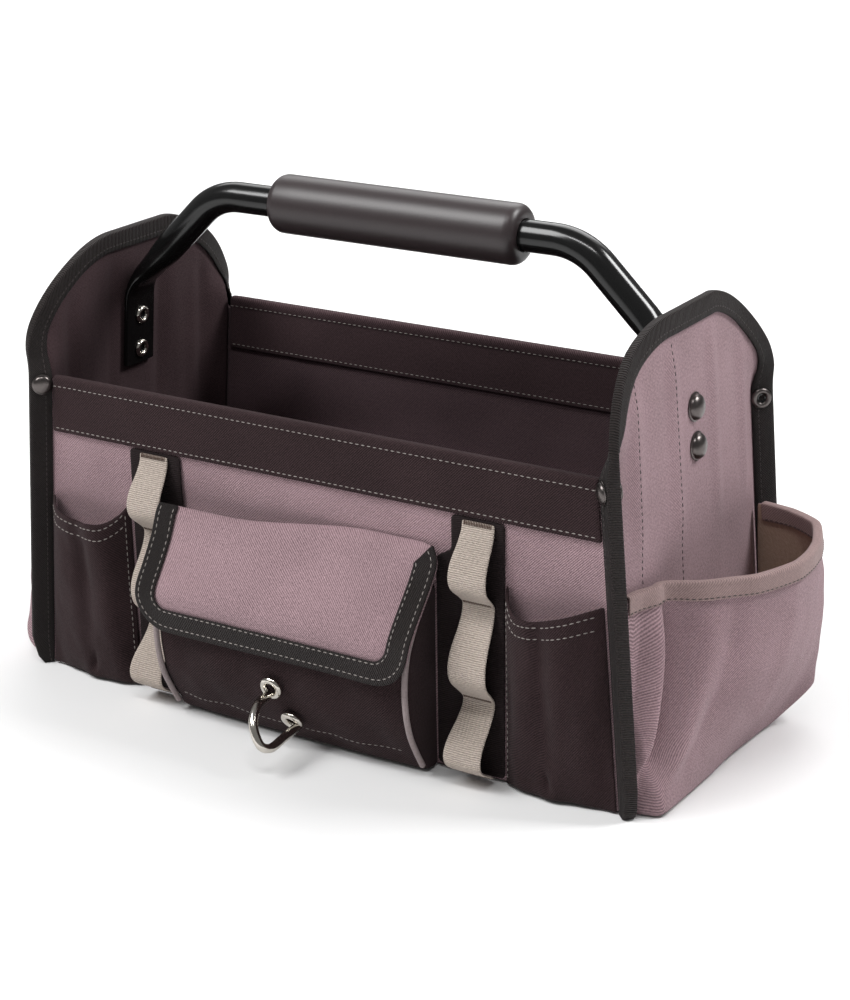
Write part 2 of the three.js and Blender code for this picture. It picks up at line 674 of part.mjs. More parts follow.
function flapBinding() {
  const corner = (radius, centreDown, from, to) => {
    return Array.from({ length: FLAP_BORDER.cornerSteps + 1 }, (_, k) => {
      const turn = lerp(from, to, k / FLAP_BORDER.cornerSteps);
      const [inX, inDown] = [-Math.cos(turn), -Math.sin(turn)];
      return { x: FLAP_HALF - radius * (1 + inX), down: centreDown - radius * inDown, inX, inDown };
    });
  };
  const side = FLAP_BORDER.sideSteps.map((down) => ({ x: FLAP_HALF, down, inX: -1, inDown: 0 }));
  const half = (topRadius) => [
    ...corner(topRadius, topRadius, FLAP_BORDER.topTurn, 0),
    ...side,
    ...corner(FLAP_CORNER, FLAP_LENGTH - FLAP_CORNER, 0, Math.PI / 2),
  ];
  const left = half(FLAP_TOP_CORNER.left).toReversed().map((row) => ({ ...row, x: -row.x, inX: -row.inX }));
  const path = [...half(FLAP_TOP_CORNER.right), ...left];
  const stand = CLOTH / 2 + FLAP_BORDER.gap + TAPE / 2;
  return sheet(path.length, 3, (i, j) => {
    const { x, down, inX, inDown } = path[i];
    const inset = lerp(-FLAP_BORDER.edge, FLAP_BORDER.width, j / 2);
    return flapPoint(x + inX * inset, down + inDown * inset, stand);
  }, TAPE);
}

// The backing reaches from the pouch, which is off the bag's middle, to the front pocket
function webBacking(side, strapX) {
  const { outer, foot, top, stepFrom, stepTo } = BACKING;
  const inner = side * POUCH_X + POUCH_ACROSS[0].x + CLOTH / 2 + BACKING.pouchGap;
  const topInner = strapX - BACKING.besideStrap;
  const outline = [
    [inner, foot],
    [outer, foot],
    [outer, top],
    [topInner, top],
    [topInner, stepTo],
    [inner, stepFrom],
  ];
  const shape = new THREE.Shape(outline.map(([x, z]) => new THREE.Vector2(x, z)));
  const strip = new THREE.ExtrudeGeometry(shape, { depth: WEB, bevelEnabled: false });
  return strip.rotateX(Math.PI / 2).translate(0, -WALL_Y - CLOTH / 2 - GAP, 0);
}

function loopWeb(strapX) {
  const lie = -WALL_Y - CLOTH / 2 - GAP - WEB - GAP - WEB / 2;
  const run = LOOPS.flatMap(({ top, bottom, stand }) => Array.from({ length: LOOP_STEPS }, (_, k) => {
    const share = k / LOOP_STEPS;
    return { y: lie - stand * Math.sin(Math.PI * share ** LOOP_SAG), z: lerp(top, bottom, share) };
  }));
  run.push({ y: lie, z: LOOPS.at(-1).bottom });
  const edges = [strapX - LOOP_WIDTH / 2, strapX + LOOP_WIDTH / 2];
  return sheet(edges.length, run.length, (i, j) => new THREE.Vector3(edges[i], run[j].y, run[j].z), WEB);
}

// Middle of an end pocket's cloth, at a place across its table and a share of its height
function endPocketPoint(at, v, slackness) {
  const k = Math.min(Math.floor(at), END_POCKET.length - 2);
  const read = (column) => lerp(END_POCKET[k][column], END_POCKET[k + 1][column], at - k);
  const z = lerp(END_POCKET_FOOT + read('lift'), END_POCKET_HEM, v);
  const y = lerp(read('footY'), read('hemY'), v);
  const line = lerp(read('foot'), read('hem'), v);
  const belly = read('belly') - lerp(read('foot'), read('hem'), END_POCKET_BELLY_AT);
  const slack = slackness * read('slack') * Math.sin(Math.PI * v ** SLACK_SINK);
  const out = line + belly * Math.sin(Math.PI * v) + slack;
  return endPoint(y, z).add(new THREE.Vector3(out, 0, 0));
}

const endPocketPlaces = Array.from(
  { length: (END_POCKET.length - 1) * END_POCKET_COLUMNS_PER_FOLD + 1 },
  (_, k) => k / END_POCKET_COLUMNS_PER_FOLD,
);

function endPocket(slackness) {
  return sheet(endPocketPlaces.length, END_POCKET_ROWS + 1, (i, j) => {
    const at = endPocketPlaces[i];
    if (j > 0) return endPocketPoint(at, (j - 1) / (END_POCKET_ROWS - 1), slackness);
    const foot = endPocketPoint(at, 0, slackness);
    return foot.setX(endPoint(foot.y, foot.z).x + END_POCKET[0].hem);
  }, CLOTH);
}

function endPocketHem(slackness) {
  const nextRow = 1 - 1 / (END_POCKET_ROWS - 1);
  const hemPoint = (k) => {
    const place = THREE.MathUtils.clamp(k, 0, endPocketPlaces.length - 1);
    return endPocketPoint(endPocketPlaces[place], 1, slackness);
  };
  const stations = endPocketPlaces.map((at, k) => {
    const edge = hemPoint(k);
    const inward = endPocketPoint(at, nextRow, slackness).sub(edge).normalize();
    const before = hemPoint(k - 1);
    const after = hemPoint(k + 1);
    const way = edge.clone().sub(before).normalize().add(after.sub(edge).normalize());
    const normal = inward.clone().cross(way).normalize();
    const depth = CLOTH / 2 + HEM_GAP;
    return { edge, inward, normal, leg: HEM_LEG, over: depth, under: depth };
  });
  return foldedTape(stations.slice(PLAIN_ENDS, -PLAIN_ENDS), TAPE, GAP);
}

// Handle: the run of its right half, from the middle of the grip to the foot of the flattened end
function handleRun() {
  const inside = CLOTH / 2 + GAP + PLATE.halfThickness;
  const plateAt = (z) => endPoint(0, z).addScaledVector(stripNormal, -inside);
  const plateTurn = Math.PI / 2 - stripSlope;
  const arc = (radius, from, to) => ({
    dx: radius * (Math.sin(to) - Math.sin(from)),
    dz: -radius * (Math.cos(from) - Math.cos(to)),
  });
  const shoulder = arc(SHOULDER_RADIUS, 0, LEG_ANGLE);
  const knee = arc(KNEE_RADIUS, LEG_ANGLE, plateTurn);
  const plateTop = plateAt(PLATE.top);
  const kneeX = plateTop.x - knee.dx;
  const kneeZ = plateTop.z - knee.dz;
  const legZ = GRIP.height + shoulder.dz;
  const legX = kneeX - (legZ - kneeZ) / Math.tan(LEG_ANGLE);
  const straightX = legX - shoulder.dx;
  const run = [{ x: 0, z: GRIP.height, turn: 0, flat: 0 }];
  const bend = (x, z, radius, from, to, steps, flatFrom, flatTo) => {
    for (let k = 0; k <= steps; k += 1) {
      const turn = lerp(from, to, k / steps);
      const part = arc(radius, from, turn);
      const flat = lerp(flatTo, flatFrom, (1 - k / steps) ** 2);
      run.push({ x: x + part.dx, z: z + part.dz, turn, flat });
    }
  };
  bend(straightX, GRIP.height, SHOULDER_RADIUS, 0, LEG_ANGLE, SHOULDER_STEPS, 0, 0);
  for (const share of LEG_STATIONS) {
    run.push({ x: lerp(legX, kneeX, share), z: lerp(legZ, kneeZ, share), turn: LEG_ANGLE, flat: 0 });
  }
  bend(kneeX, kneeZ, KNEE_RADIUS, LEG_ANGLE, plateTurn, KNEE_STEPS, KNEE_FLATNESS, 1);
  const foot = plateAt(PLATE.bottom);
  run.push({ x: foot.x, z: foot.z, turn: plateTurn, flat: 1 });
  return run;
}

function handleTube() {
  const angles = Array.from({ length: TUBE_SIDES }, (_, k) => ((k + 0.5) * 2 * Math.PI) / TUBE_SIDES);
  const soft = (value, power) => Math.sign(value) * Math.abs(value) ** power;
  const section = ({ flat }) => {
    const width = lerp(TUBE_RADIUS, PLATE.halfWidth, flat);
    const depth = lerp(TUBE_RADIUS, PLATE.halfThickness, flat);
    const power = lerp(1, PLATE.squareness, flat);
    const point = (a) => [width * soft(Math.cos(a), power), depth * soft(Math.sin(a), power)];
    return angles.map((a) => new THREE.Vector2(...point(a)));
  };
  const right = handleRun();
  const left = right.slice(1).toReversed().map((row) => ({ ...row, x: -row.x, turn: -row.turn }));
  const run = [...left, ...right];
  const rings = run.map((row) => section(row).map((point) => new THREE.Vector3(
    row.x + point.y * Math.sin(row.turn),
    point.x,
    row.z + point.y * Math.cos(row.turn),
  )));
  const bothEnds = [...handleRivets, ...handleRivets.map(onOtherEnd)];
  return drilled(loft(rings, section(run[0])), bothEnds, HANDLE_RIVET.shank);
}

function handleGrip() {
  const half = GRIP.length / 2;
  const { radius, bore, rounding } = GRIP;
  const round = [0, 30, 60, 90].map((d) => degToRad(d));
  const lower = round.map((a) => [
    radius - rounding + rounding * Math.sin(a),
    -half + rounding * (1 - Math.cos(a)),
  ]);
  const upper = lower.toReversed().map(([r, h]) => [r, -h]);
  const profile = [[bore, -half], ...lower, ...upper, [bore, half], [bore, -half]];
  const sleeve = new THREE.LatheGeometry(profile.map(([r, h]) => new THREE.Vector2(r, h)), GRIP.sides);
  sleeve.rotateZ(-Math.PI / 2);
  return sleeve.translate(GRIP.shift, 0, GRIP.height);
}

// A domed head, a shank and a ring behind: the head lies on the cloth at one end of the stack and the ring
// at the other
function rivet(size, front, behind, { origin, axis }) {
  const { head, dome, shank, ring, ringHeight, gap } = size;
  const top = front + gap;
  const foot = -behind - gap;
  const eye = ring * RING_PROFILE.eye;
  const floor = foot - ringHeight * RING_PROFILE.sunk;
  const profile = [
    ...DOME_PROFILE.map((row) => [head * row.radius, top + dome * row.height]),
    [shank, top],
    [shank, foot],
    [ring, foot],
    [ring * RING_PROFILE.rim, foot - ringHeight],
    [eye, foot - ringHeight],
    [eye, floor],
    [0, floor],
  ];
  const outline = profile.map(([r, h]) => new THREE.Vector2(r, h)).reverse();
  const solid = new THREE.LatheGeometry(outline, RIVET_SIDES);
  solid.applyQuaternion(new THREE.Quaternion().setFromUnitVectors(new THREE.Vector3(0, 1, 0), axis));
  return solid.translate(origin.x, origin.y, origin.z);
}

// The pouch's outward normal at a height on its middle
function pouchFacing(z) {
  const reach = 6;
  const share = POUCH_ACROSS.at(-1).share;
  const along = pouchPoint(0, share, z + reach).sub(pouchPoint(0, share, z - reach));
  return new THREE.Vector3(0, -along.z, along.y).normalize();
}

function wireHook() {
  const share = POUCH_ACROSS.at(-1).share;
  const stand = CLOTH / 2 + 2 * GAP + HOOK_EYE.wire;
  const across = new THREE.Vector3(1, 0, 0);
  const eyes = [HOOK_UPPER, HOOK_LOWER].map(({ x, z, tail }) => {
    const facing = pouchFacing(z);
    const centre = pouchPoint(x - POUCH_X, share, z).addScaledVector(facing, stand);
    const ring = new THREE.TorusGeometry(HOOK_EYE.radius, HOOK_EYE.wire, CORD_SIDES, HOOK_EYE_STEPS);
    ring.applyQuaternion(new THREE.Quaternion().setFromUnitVectors(new THREE.Vector3(0, 0, 1), facing));
    ring.translate(centre.x, centre.y, centre.z);
    const start = centre.clone().addScaledVector(across, HOOK_EYE.radius * Math.cos(tail));
    start.addScaledVector(facing.clone().cross(across), HOOK_EYE.radius * Math.sin(tail));
    return { ring, start };
  });
  const [upper, lower] = eyes;
  const bow = HOOK_BOW.map(({ down, out }) => {
    return upper.start.clone().lerp(lower.start, down).add(new THREE.Vector3(0, -out, 0));
  });
  const path = [upper.start, ...bow, lower.start];
  const wire = new THREE.ExtrudeGeometry(roundSection(HOOK_WIRE, CORD_SIDES), {
    extrudePath: new THREE.CatmullRomCurve3(path),
    steps: HOOK_STEPS,
    bevelEnabled: false,
  });
  return fromManifold(eyes.reduce((solid, eye) => solid.add(toManifold(eye.ring)), toManifold(wire)));
}

place('base_panel', basePanel(), canvasBlack);
place('front_panel', longWall(0), canvasGrey);
place('back_panel', mirrored(longWall(BACK_RISE), 1), canvasGrey);
placePair('end_panel', endPanel(), canvasGrey);
placePair('binding', binding(), tapeBlack);
place('front_band', topBand(0), canvasBlack);
place('back_band', mirrored(topBand(BACK_RISE), 1), canvasBlack);
place('front_pocket_right', frontPocket(FRONT_POCKET_DROP.right), canvasBlack);
place('front_pocket_left', mirrored(frontPocket(FRONT_POCKET_DROP.left), 0), canvasBlack);
place('centre_pocket', centrePouch(), canvasBlack);
place('pocket_piping_right', pouchPiping(1), canvasGrey);
place('pocket_piping_left', pouchPiping(-1), canvasGrey);
place('pocket_flap', pocketFlap(), canvasGrey);
place('flap_binding', flapBinding(), tapeBlack);
place('web_backing_right', webBacking(1, STRAP_X.right), tapeBlack);
place('web_backing_left', mirrored(webBacking(-1, STRAP_X.left), 0), tapeBlack);
place('loop_web_right', loopWeb(STRAP_X.right), webBeige);
place('loop_web_left', mirrored(loopWeb(STRAP_X.left), 0), webBeige);
place('end_pocket_right', endPocket(0), canvasGrey);
place('end_pocket_left', mirrored(endPocket(1), 0), canvasGrey);
place('end_pocket_hem_right', endPocketHem(0), hemGrey);
place('end_pocket_hem_left', mirrored(endPocketHem(1), 0), hemGrey);
place('handle_tube', handleTube(), tubePaint);
place('handle_grip', handleGrip(), gripFoam);
const plateDepth = CLOTH / 2 + GAP + 2 * PLATE.halfThickness;
['upper', 'lower'].forEach((level, k) => {
  const solid = rivet(HANDLE_RIVET, CLOTH / 2, plateDepth, handleRivets[k]);
  placePair(`handle_rivet_${level}`, solid, gunmetal);
});
const seamDepth = CLOTH + GAP / 2 + BINDING_GAP + TAPE;
['front', 'back'].forEach((side, k) => {
  const solid = rivet(CORNER_RIVET, seamDepth, seamDepth, cornerRivets[k]);
  placePair(`corner_rivet_${side}`, solid, gunmetal);
});
place('wire_hook', wireHook(), nickel);

export default group;
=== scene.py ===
# %% [markdown]
# This file dresses a sewn tool bag: an open cloth tray with two arched ends, pockets and webbing on
# its front, a big pocket on each end, and a bent tube handle with a foam grip.
# The solids come in as a frame with the right sizes and places. Cloth is drawn here as fine sheets
# that follow the same sewing pattern, and the hard pieces are modelled anew at the same places.

import math
from bisect import bisect_right

import bpy
from mathutils import Matrix, Vector, noise
from mathutils.bvhtree import BVHTree


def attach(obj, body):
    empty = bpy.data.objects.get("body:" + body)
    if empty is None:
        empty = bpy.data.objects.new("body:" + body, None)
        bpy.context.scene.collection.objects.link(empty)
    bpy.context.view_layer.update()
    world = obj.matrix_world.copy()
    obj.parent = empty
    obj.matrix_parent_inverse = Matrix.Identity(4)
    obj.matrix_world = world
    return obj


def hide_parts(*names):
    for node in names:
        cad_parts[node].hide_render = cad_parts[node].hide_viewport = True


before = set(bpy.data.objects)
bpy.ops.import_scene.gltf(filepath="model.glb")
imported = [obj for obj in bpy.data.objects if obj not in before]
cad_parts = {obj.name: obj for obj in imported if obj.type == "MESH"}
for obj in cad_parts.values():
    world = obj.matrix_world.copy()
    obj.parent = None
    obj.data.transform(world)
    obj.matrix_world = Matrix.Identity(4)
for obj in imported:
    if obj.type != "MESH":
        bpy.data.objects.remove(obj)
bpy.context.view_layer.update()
bpy.ops.object.select_all(action="DESELECT")

# %% [markdown]
# The camera stands to the right of the front and looks down a little, through a long lens, so that
# the far end of the bag is nearly as large as the near one. Its place was worked out from the corners
# of the bag, and it is written here as angles and a distance from a point inside the tray.

# %% Camera
MM = 0.001
YAW, PITCH, ROLL = 0.5615, 0.3549, -0.0135
FOCAL_PIXELS, IMAGE_HEIGHT, SENSOR = 2288.4, 1000, 36.0
TARGET = Vector((21.8, 0, 130.3)) * MM
DISTANCE = 1478.9 * MM

back = Vector((math.sin(YAW) * math.cos(PITCH), -math.cos(YAW) * math.cos(PITCH), math.sin(PITCH)))
level = Vector((math.cos(YAW), math.sin(YAW), 0))
up = back.cross(level)
right = level * math.cos(ROLL) + up * math.sin(ROLL)
top = up * math.cos(ROLL) - level * math.sin(ROLL)

lens = bpy.data.cameras.new("camera")
lens.sensor_width = SENSOR
lens.lens = FOCAL_PIXELS / IMAGE_HEIGHT * SENSOR
camera = bpy.data.objects.new("camera", lens)
looking = Matrix((right, top, back)).transposed().to_4x4()
camera.matrix_world = Matrix.Translation(TARGET + back * DISTANCE) @ looking
bpy.context.collection.objects.link(camera)
bpy.context.scene.camera = camera
print("camera at", [round(x, 3) for x in camera.matrix_world.translation], "lens", round(lens.lens, 1))

# %% [markdown]
# Every colour in the file is written as a hex value, the way a paint chart gives it. Blender mixes
# light in linear values, so one function turns the one into the other. A second one adds a shader
# node, sets its properties and links or fills its inputs, which keeps each material to a few lines.

# %% Colours and nodes
def colour(text):
    channels = [int(text[k:k + 2], 16) / 255 for k in (1, 3, 5)]
    return (*(c / 12.92 if c <= 0.04045 else ((c + 0.055) / 1.055) ** 2.4 for c in channels), 1)


def add(tree, kind, inputs=None, **settings):
    node = tree.nodes.new(kind)
    for name, value in settings.items():
        setattr(node, name, value)
    for name, value in (inputs or {}).items():
        if isinstance(value, bpy.types.NodeSocket):
            tree.links.new(value, node.inputs[name])
        else:
            node.inputs[name].default_value = value
    return node


def new_material(name):
    material = bpy.data.materials.new(name)
    material.use_nodes = True
    return material, material.node_tree, material.node_tree.nodes["Principled BSDF"]


# %% [markdown]
# The bag stands on a plain pale floor. Large soft lamps give it the light of a catalogue picture: one
# above the front left, a smaller one behind the near end, which models the folds there, and a weak
# wide one at the back. A pale surround fills the shadows. A long narrow lamp above draws the streaks
# of light on the painted handle, and one lamp only lights the floor behind.

# %% Floor and light
FLOOR_SIZE = 24.0
LAMPS = {
    "front_lamp": {"place": (-1.5, -1.7, 2.8), "aim": TARGET, "size": (1.6, 1.6), "power": 98},
    "side_lamp": {"place": (1.7, 1.0, 2.2), "aim": TARGET, "size": (0.9, 0.9), "power": 57},
    "back_lamp": {"place": (-0.4, 2.4, 2.6), "aim": TARGET, "size": (2.4, 2.4), "power": 28},
    "strip_lamp": {"place": (0.3, -1.1, 2.4), "aim": TARGET, "size": (1.4, 0.15), "power": 18},
    "floor_lamp": {"place": (-1.5, 2.7, 2.2), "aim": (-1.5, 2.7, 0), "size": (3.5, 3.0), "power": 75},
}
SURROUND = 0.22

bpy.ops.mesh.primitive_plane_add(size=FLOOR_SIZE)
floor = bpy.context.active_object
floor.name = "floor"
paper, tree, shader = new_material("white_paper")
shader.inputs["Base Color"].default_value = colour("#E8E8E8")
shader.inputs["Roughness"].default_value = 0.9
floor.data.materials.append(paper)

for name, lamp in LAMPS.items():
    light = bpy.data.lights.new(name, "AREA")
    light.shape = "RECTANGLE"
    light.energy = lamp["power"]
    light.size, light.size_y = lamp["size"]
    holder = bpy.data.objects.new(name, light)
    holder.location = lamp["place"]
    holder.rotation_euler = (Vector(lamp["place"]) - Vector(lamp["aim"])).to_track_quat("Z", "Y").to_euler()
    bpy.context.collection.objects.link(holder)

world = bpy.data.worlds.new("surround")
world.use_nodes = True
world.node_tree.nodes["Background"].inputs["Color"].default_value = colour("#FFFFFF")
world.node_tree.nodes["Background"].inputs["Strength"].default_value = SURROUND
bpy.context.scene.world = world
bpy.context.scene.view_settings.view_transform = "Standard"
print("lamps", len(LAMPS))

# %% [markdown]
# The cloth is a polyester canvas in a twill weave: its threads step over by one at each row, which
# draws fine slanted lines. A wave pattern on the cloth's own UV map, which is in metres, draws them,
# fine noise makes the threads uneven, and slow noise gives the fading of a used bag.
# The same recipe with its lines straight across makes ribbed tape and webbing.

# %% Woven materials
def woven(name, light, dark, line, ribs, relief, roughness, fuzz, shine=0.12):
    # line: millimetres from one line of the weave to the next. ribs: DIAGONAL for twill, X or Y for ribs
    # across the run of a tape. relief: strength of the bumps. fuzz: sheen. shine: specular level.
    material, tree, shader = new_material(name)
    uv = add(tree, "ShaderNodeUVMap", uv_map="cloth").outputs["UV"]
    slanted = add(tree, "ShaderNodeMapping", {"Vector": uv, "Scale": (1, -1, 1)}).outputs["Vector"]
    turns = math.tau / 10 / (line * MM)
    lines = add(tree, "ShaderNodeTexWave", {
        "Vector": slanted, "Scale": turns, "Distortion": 1.2, "Detail": 1.0, "Detail Scale": 1.6,
    }, wave_type="BANDS", bands_direction=ribs)
    threads = add(tree, "ShaderNodeTexNoise", {"Vector": uv, "Scale": 1 / (1.6 * MM), "Detail": 2.0})
    place = add(tree, "ShaderNodeTexCoord").outputs["Object"]
    fading = add(tree, "ShaderNodeTexNoise", {"Vector": place, "Scale": 1 / (38 * MM), "Detail": 3.0})
    uneven = add(tree, "ShaderNodeMath", {0: threads.outputs["Fac"], 1: 1.1}, operation="MULTIPLY")
    weave = add(tree, "ShaderNodeMath", {
        0: lines.outputs["Fac"], 1: uneven.outputs[0],
    }, operation="ADD").outputs[0]
    worn = add(tree, "ShaderNodeMath", {
        0: fading.outputs["Fac"], 1: 0.5, 2: weave,
    }, operation="MULTIPLY_ADD")
    share = add(tree, "ShaderNodeMapRange", {
        "Value": worn.outputs[0], "From Min": 0.5, "From Max": 2.0,
    }).outputs["Result"]
    tint = add(tree, "ShaderNodeMix", {
        "Factor": share, "A": colour(dark), "B": colour(light),
    }, data_type="RGBA")
    bump = add(tree, "ShaderNodeBump", {"Height": weave, "Strength": relief, "Distance": 0.25 * line * MM})
    tree.links.new(tint.outputs["Result"], shader.inputs["Base Color"])
    tree.links.new(bump.outputs["Normal"], shader.inputs["Normal"])
    shader.inputs["Roughness"].default_value = roughness
    shader.inputs["Sheen Weight"].default_value = fuzz
    shader.inputs["Specular IOR Level"].default_value = shine
    return material


# Real twill lines are about 0.8 mm apart and ribs 1.5 mm. They are drawn coarser, to show in the picture.
TWILL_LINE = 1.7
RIB_LINE = 3.0
WEB_LINE = 2.6
grey_canvas = woven("grey_polyester_twill", "#B2959B", "#625054", TWILL_LINE, "DIAGONAL", 0.6, 0.9, 0.1)
black_canvas = woven("black_polyester_twill", "#3D2E30", "#170F10", TWILL_LINE, "DIAGONAL", 0.5, 0.9, 0.03)
black_lining = woven("black_lining_cloth", "#524043", "#271D1F", TWILL_LINE, "DIAGONAL", 0.4, 0.9, 0.03)
# The back wall's inside lining is painted lighter than the black lining: painted light falling into the tray.
back_lining_painted_light = woven("black_lining_cloth_painted_light", "#675357", "#382D31", TWILL_LINE, "DIAGONAL", 0.4, 0.9, 0.03)
# The pockets' brown lining is painted lighter than its own colour: painted light falling into the pockets.
brown_lining_painted_light = woven("brown_backing_cloth_painted_light", "#C4AA98", "#8A7264", TWILL_LINE, "DIAGONAL", 0.4, 0.92, 0.1)
rib_tape = woven("black_grosgrain_tape", "#2D2524", "#0B0706", RIB_LINE, "X", 1.0, 0.7, 0.04, 0.2)
hem_tape = woven("grey_hem_tape", "#A08987", "#71605E", TWILL_LINE, "DIAGONAL", 0.15, 0.9, 0.1)
flat_tape = woven("black_flat_tape", "#2A2122", "#120D0D", WEB_LINE, "Y", 0.5, 0.85, 0.04)
webbing = woven("beige_nylon_webbing", "#D6C8BD", "#8D8177", WEB_LINE, "Y", 0.9, 0.75, 0.1)

# %% [markdown]
# Thread, foam, paint and metal complete the set. The handle is gloss black powder paint with a faint
# orange peel, the grip is closed-cell foam with fine pits, and the rivets are dark plated steel, with
# bright nickel rings behind those of the handle.

# %% Plain materials
def plain(name, light, dark, grain, relief, roughness, metallic=0.0, shine=0.5):
    # grain: millimetres across one patch of the uneven surface
    material, tree, shader = new_material(name)
    place = add(tree, "ShaderNodeTexCoord").outputs["Object"]
    patches = add(tree, "ShaderNodeTexNoise", {"Vector": place, "Scale": 1 / (grain * MM), "Detail": 3.0})
    tint = add(tree, "ShaderNodeMix", {
        "Factor": patches.outputs["Fac"], "A": colour(dark), "B": colour(light),
    }, data_type="RGBA")
    bump = add(tree, "ShaderNodeBump", {
        "Height": patches.outputs["Fac"], "Strength": relief, "Distance": 0.2 * grain * MM,
    })
    tree.links.new(tint.outputs["Result"], shader.inputs["Base Color"])
    tree.links.new(bump.outputs["Normal"], shader.inputs["Normal"])
    shader.inputs["Roughness"].default_value = roughness
    shader.inputs["Metallic"].default_value = metallic
    shader.inputs["Specular IOR Level"].default_value = shine
    return material


pale_thread = plain("pale_polyester_thread", "#938C88", "#766F6B", 1.0, 0.4, 0.6)
dark_thread = plain("dark_polyester_thread", "#3E3534", "#2A2423", 1.0, 0.4, 0.6)
brown_thread = plain("brown_polyester_thread", "#5A4438", "#3B2C25", 1.0, 0.4, 0.6)
piping_cloth = plain("grey_piping_cloth", "#A09393", "#7C7070", 1.6, 0.6, 0.9)
paint = plain("gloss_black_paint", "#121212", "#080808", 3.0, 0.03, 0.18, shine=0.45)
foam = plain("closed_cell_foam", "#352C2D", "#262021", 1.2, 0.12, 0.38, shine=0.5)
gunmetal = plain("dark_plated_steel", "#6E6866", "#4E4948", 4.0, 0.05, 0.3, metallic=1.0)
nickel = plain("bright_nickel_plate", "#DCD7CF", "#BDB7AE", 5.0, 0.03, 0.16, metallic=1.0)
print("materials", len(bpy.data.materials))

# %% [markdown]
# A bag is drawn as its maker cuts it: each piece of cloth is a grid of points, given by a place
# across it and a place along it. Solidify gives the grid the thickness of the cloth, with its own
# colour inside, and one subdivision rounds the folds. No cloth simulation is run: the pieces are sewn
# all round, so their hang is set by the pattern, and slow noise adds the slack.

# %% Helpers for cloth
CLOTH, TAPE, WEB, GAP = 2.0, 1.2, 1.6, 0.4
LAYER = CLOTH + GAP
DIAGONAL = math.sqrt(0.5)


def mix(a, b, share):
    return a + (b - a) * share


def limit(value):
    return min(max(value, 0.0), 1.0)


def ease(value):
    share = limit(value)
    return share * share * (3 - 2 * share)


def steps(start, end, count):
    return [mix(start, end, k / count) for k in range(count + 1)]


def table(columns, *rows):
    return {name: [row[k] for row in rows] for k, name in enumerate(columns.split())}


def straight(rows, key, value, column):
    keys, values = rows[key], rows[column]
    k = min(max(bisect_right(keys, value) - 1, 0), len(keys) - 2)
    return mix(values[k], values[k + 1], (value - keys[k]) / (keys[k + 1] - keys[k]))


def curved(rows, key, value, column):
    keys, values = rows[key], rows[column]
    k = min(max(bisect_right(keys, value) - 1, 0), len(keys) - 2)
    width = keys[k + 1] - keys[k]
    share = (value - keys[k]) / width

    def slope(i):
        low, high = max(i - 1, 0), min(i + 1, len(keys) - 1)
        return (values[high] - values[low]) / (keys[high] - keys[low])

    bend = width * share * (1 - share) * (slope(k) * (1 - share) - slope(k + 1) * share)
    return mix(values[k], values[k + 1], ease(share)) + bend


def crumple(place, size, height):
    return height * noise.noise(Vector(place) / size)


def lengths(points):
    run = [0.0]
    for a, b in zip(points, points[1:]):
        run.append(run[-1] + (b - a).length)
    return run


def make_active(piece):
    bpy.ops.object.select_all(action="DESELECT")
    piece.select_set(True)
    bpy.context.view_layer.objects.active = piece


def new_piece(name, data):
    piece = bpy.data.objects.new(name, data)
    bpy.context.collection.objects.link(piece)
    make_active(piece)
    return piece


def cloth(node, across, along, point, thickness, outside, inside, facing, levels=1):
    places = [[Vector(point(u, v)) * MM for v in along] for u in across]
    count = len(along)
    mesh = bpy.data.meshes.new(node)
    mesh.from_pydata([p for column in places for p in column], [], [
        (a, a + count, a + count + 1, a + 1)
        for i in range(len(across) - 1) for a in range(i * count, i * count + count - 1)
    ])
    outwards = sum((face.normal * face.area for face in mesh.polygons), Vector())
    if outwards.dot(Vector(facing)) < 0:
        mesh.flip_normals()
    runs = [lengths(column) for column in places]
    widths = [lengths([column[j] for column in places]) for j in range(count)]
    layer = mesh.uv_layers.new(name="cloth")
    for loop in mesh.loops:
        i, j = divmod(loop.vertex_index, count)
        layer.data[loop.index].uv = (widths[j][i] - widths[j][-1] / 2, runs[i][j])
    mesh.materials.append(outside)
    mesh.materials.append(inside)
    piece = new_piece(f"{node}_cloth", mesh)
    wall = piece.modifiers.new("wall", "SOLIDIFY")
    wall.thickness = thickness * MM
    wall.offset = 0
    wall.use_even_offset = True
    wall.material_offset = 1
    if levels:
        soft = piece.modifiers.new("soft", "SUBSURF")
        soft.levels = soft.render_levels = levels
    for modifier in list(piece.modifiers):
        bpy.ops.object.modifier_apply(modifier=modifier.name)
    mesh.shade_smooth()
    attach(piece, "root")
    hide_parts(node)
    return piece


# %% [markdown]
# Stitches are real on this bag: pale thread on the black cloth and dark thread on the grey. A row of
# them follows a line drawn near the cloth, and each stitch is put on the nearest point of the
# finished sheet. The places are collected here, piece by piece, and the thread is made at the end.

# %% Helpers for sewing
seams = {"pale": [], "dark": [], "brown": []}
surfaces = {}
PITCH = {"seam": 4.2, "tape": 3.6, "tack": 1.1}
STITCH_REACH = 3.0


def sew(thread, piece, line, pitch=PITCH["seam"], turn=None):
    # line: places in millimetres, each with the way the cloth faces there
    if piece.name not in surfaces:
        shell = piece.data
        surfaces[piece.name] = BVHTree.FromPolygons(
            [v.co for v in shell.vertices], [face.vertices[:] for face in shell.polygons])
    places = [Vector(place) for place, facing in line]
    run = lengths(places)
    for k in range(int(run[-1] / pitch)):
        at = (k + 0.5) * pitch
        i = min(bisect_right(run, at) - 1, len(run) - 2)
        share = (at - run[i]) / (run[i + 1] - run[i])
        facing = Vector(line[i][1]).normalized()
        near = (places[i].lerp(places[i + 1], share) + facing * STITCH_REACH) * MM
        spot, normal, face, gap = surfaces[piece.name].find_nearest(near)
        way = Vector(turn) if turn else places[i + 1] - places[i]
        seams[thread].append((spot, way - normal * way.dot(normal), normal))
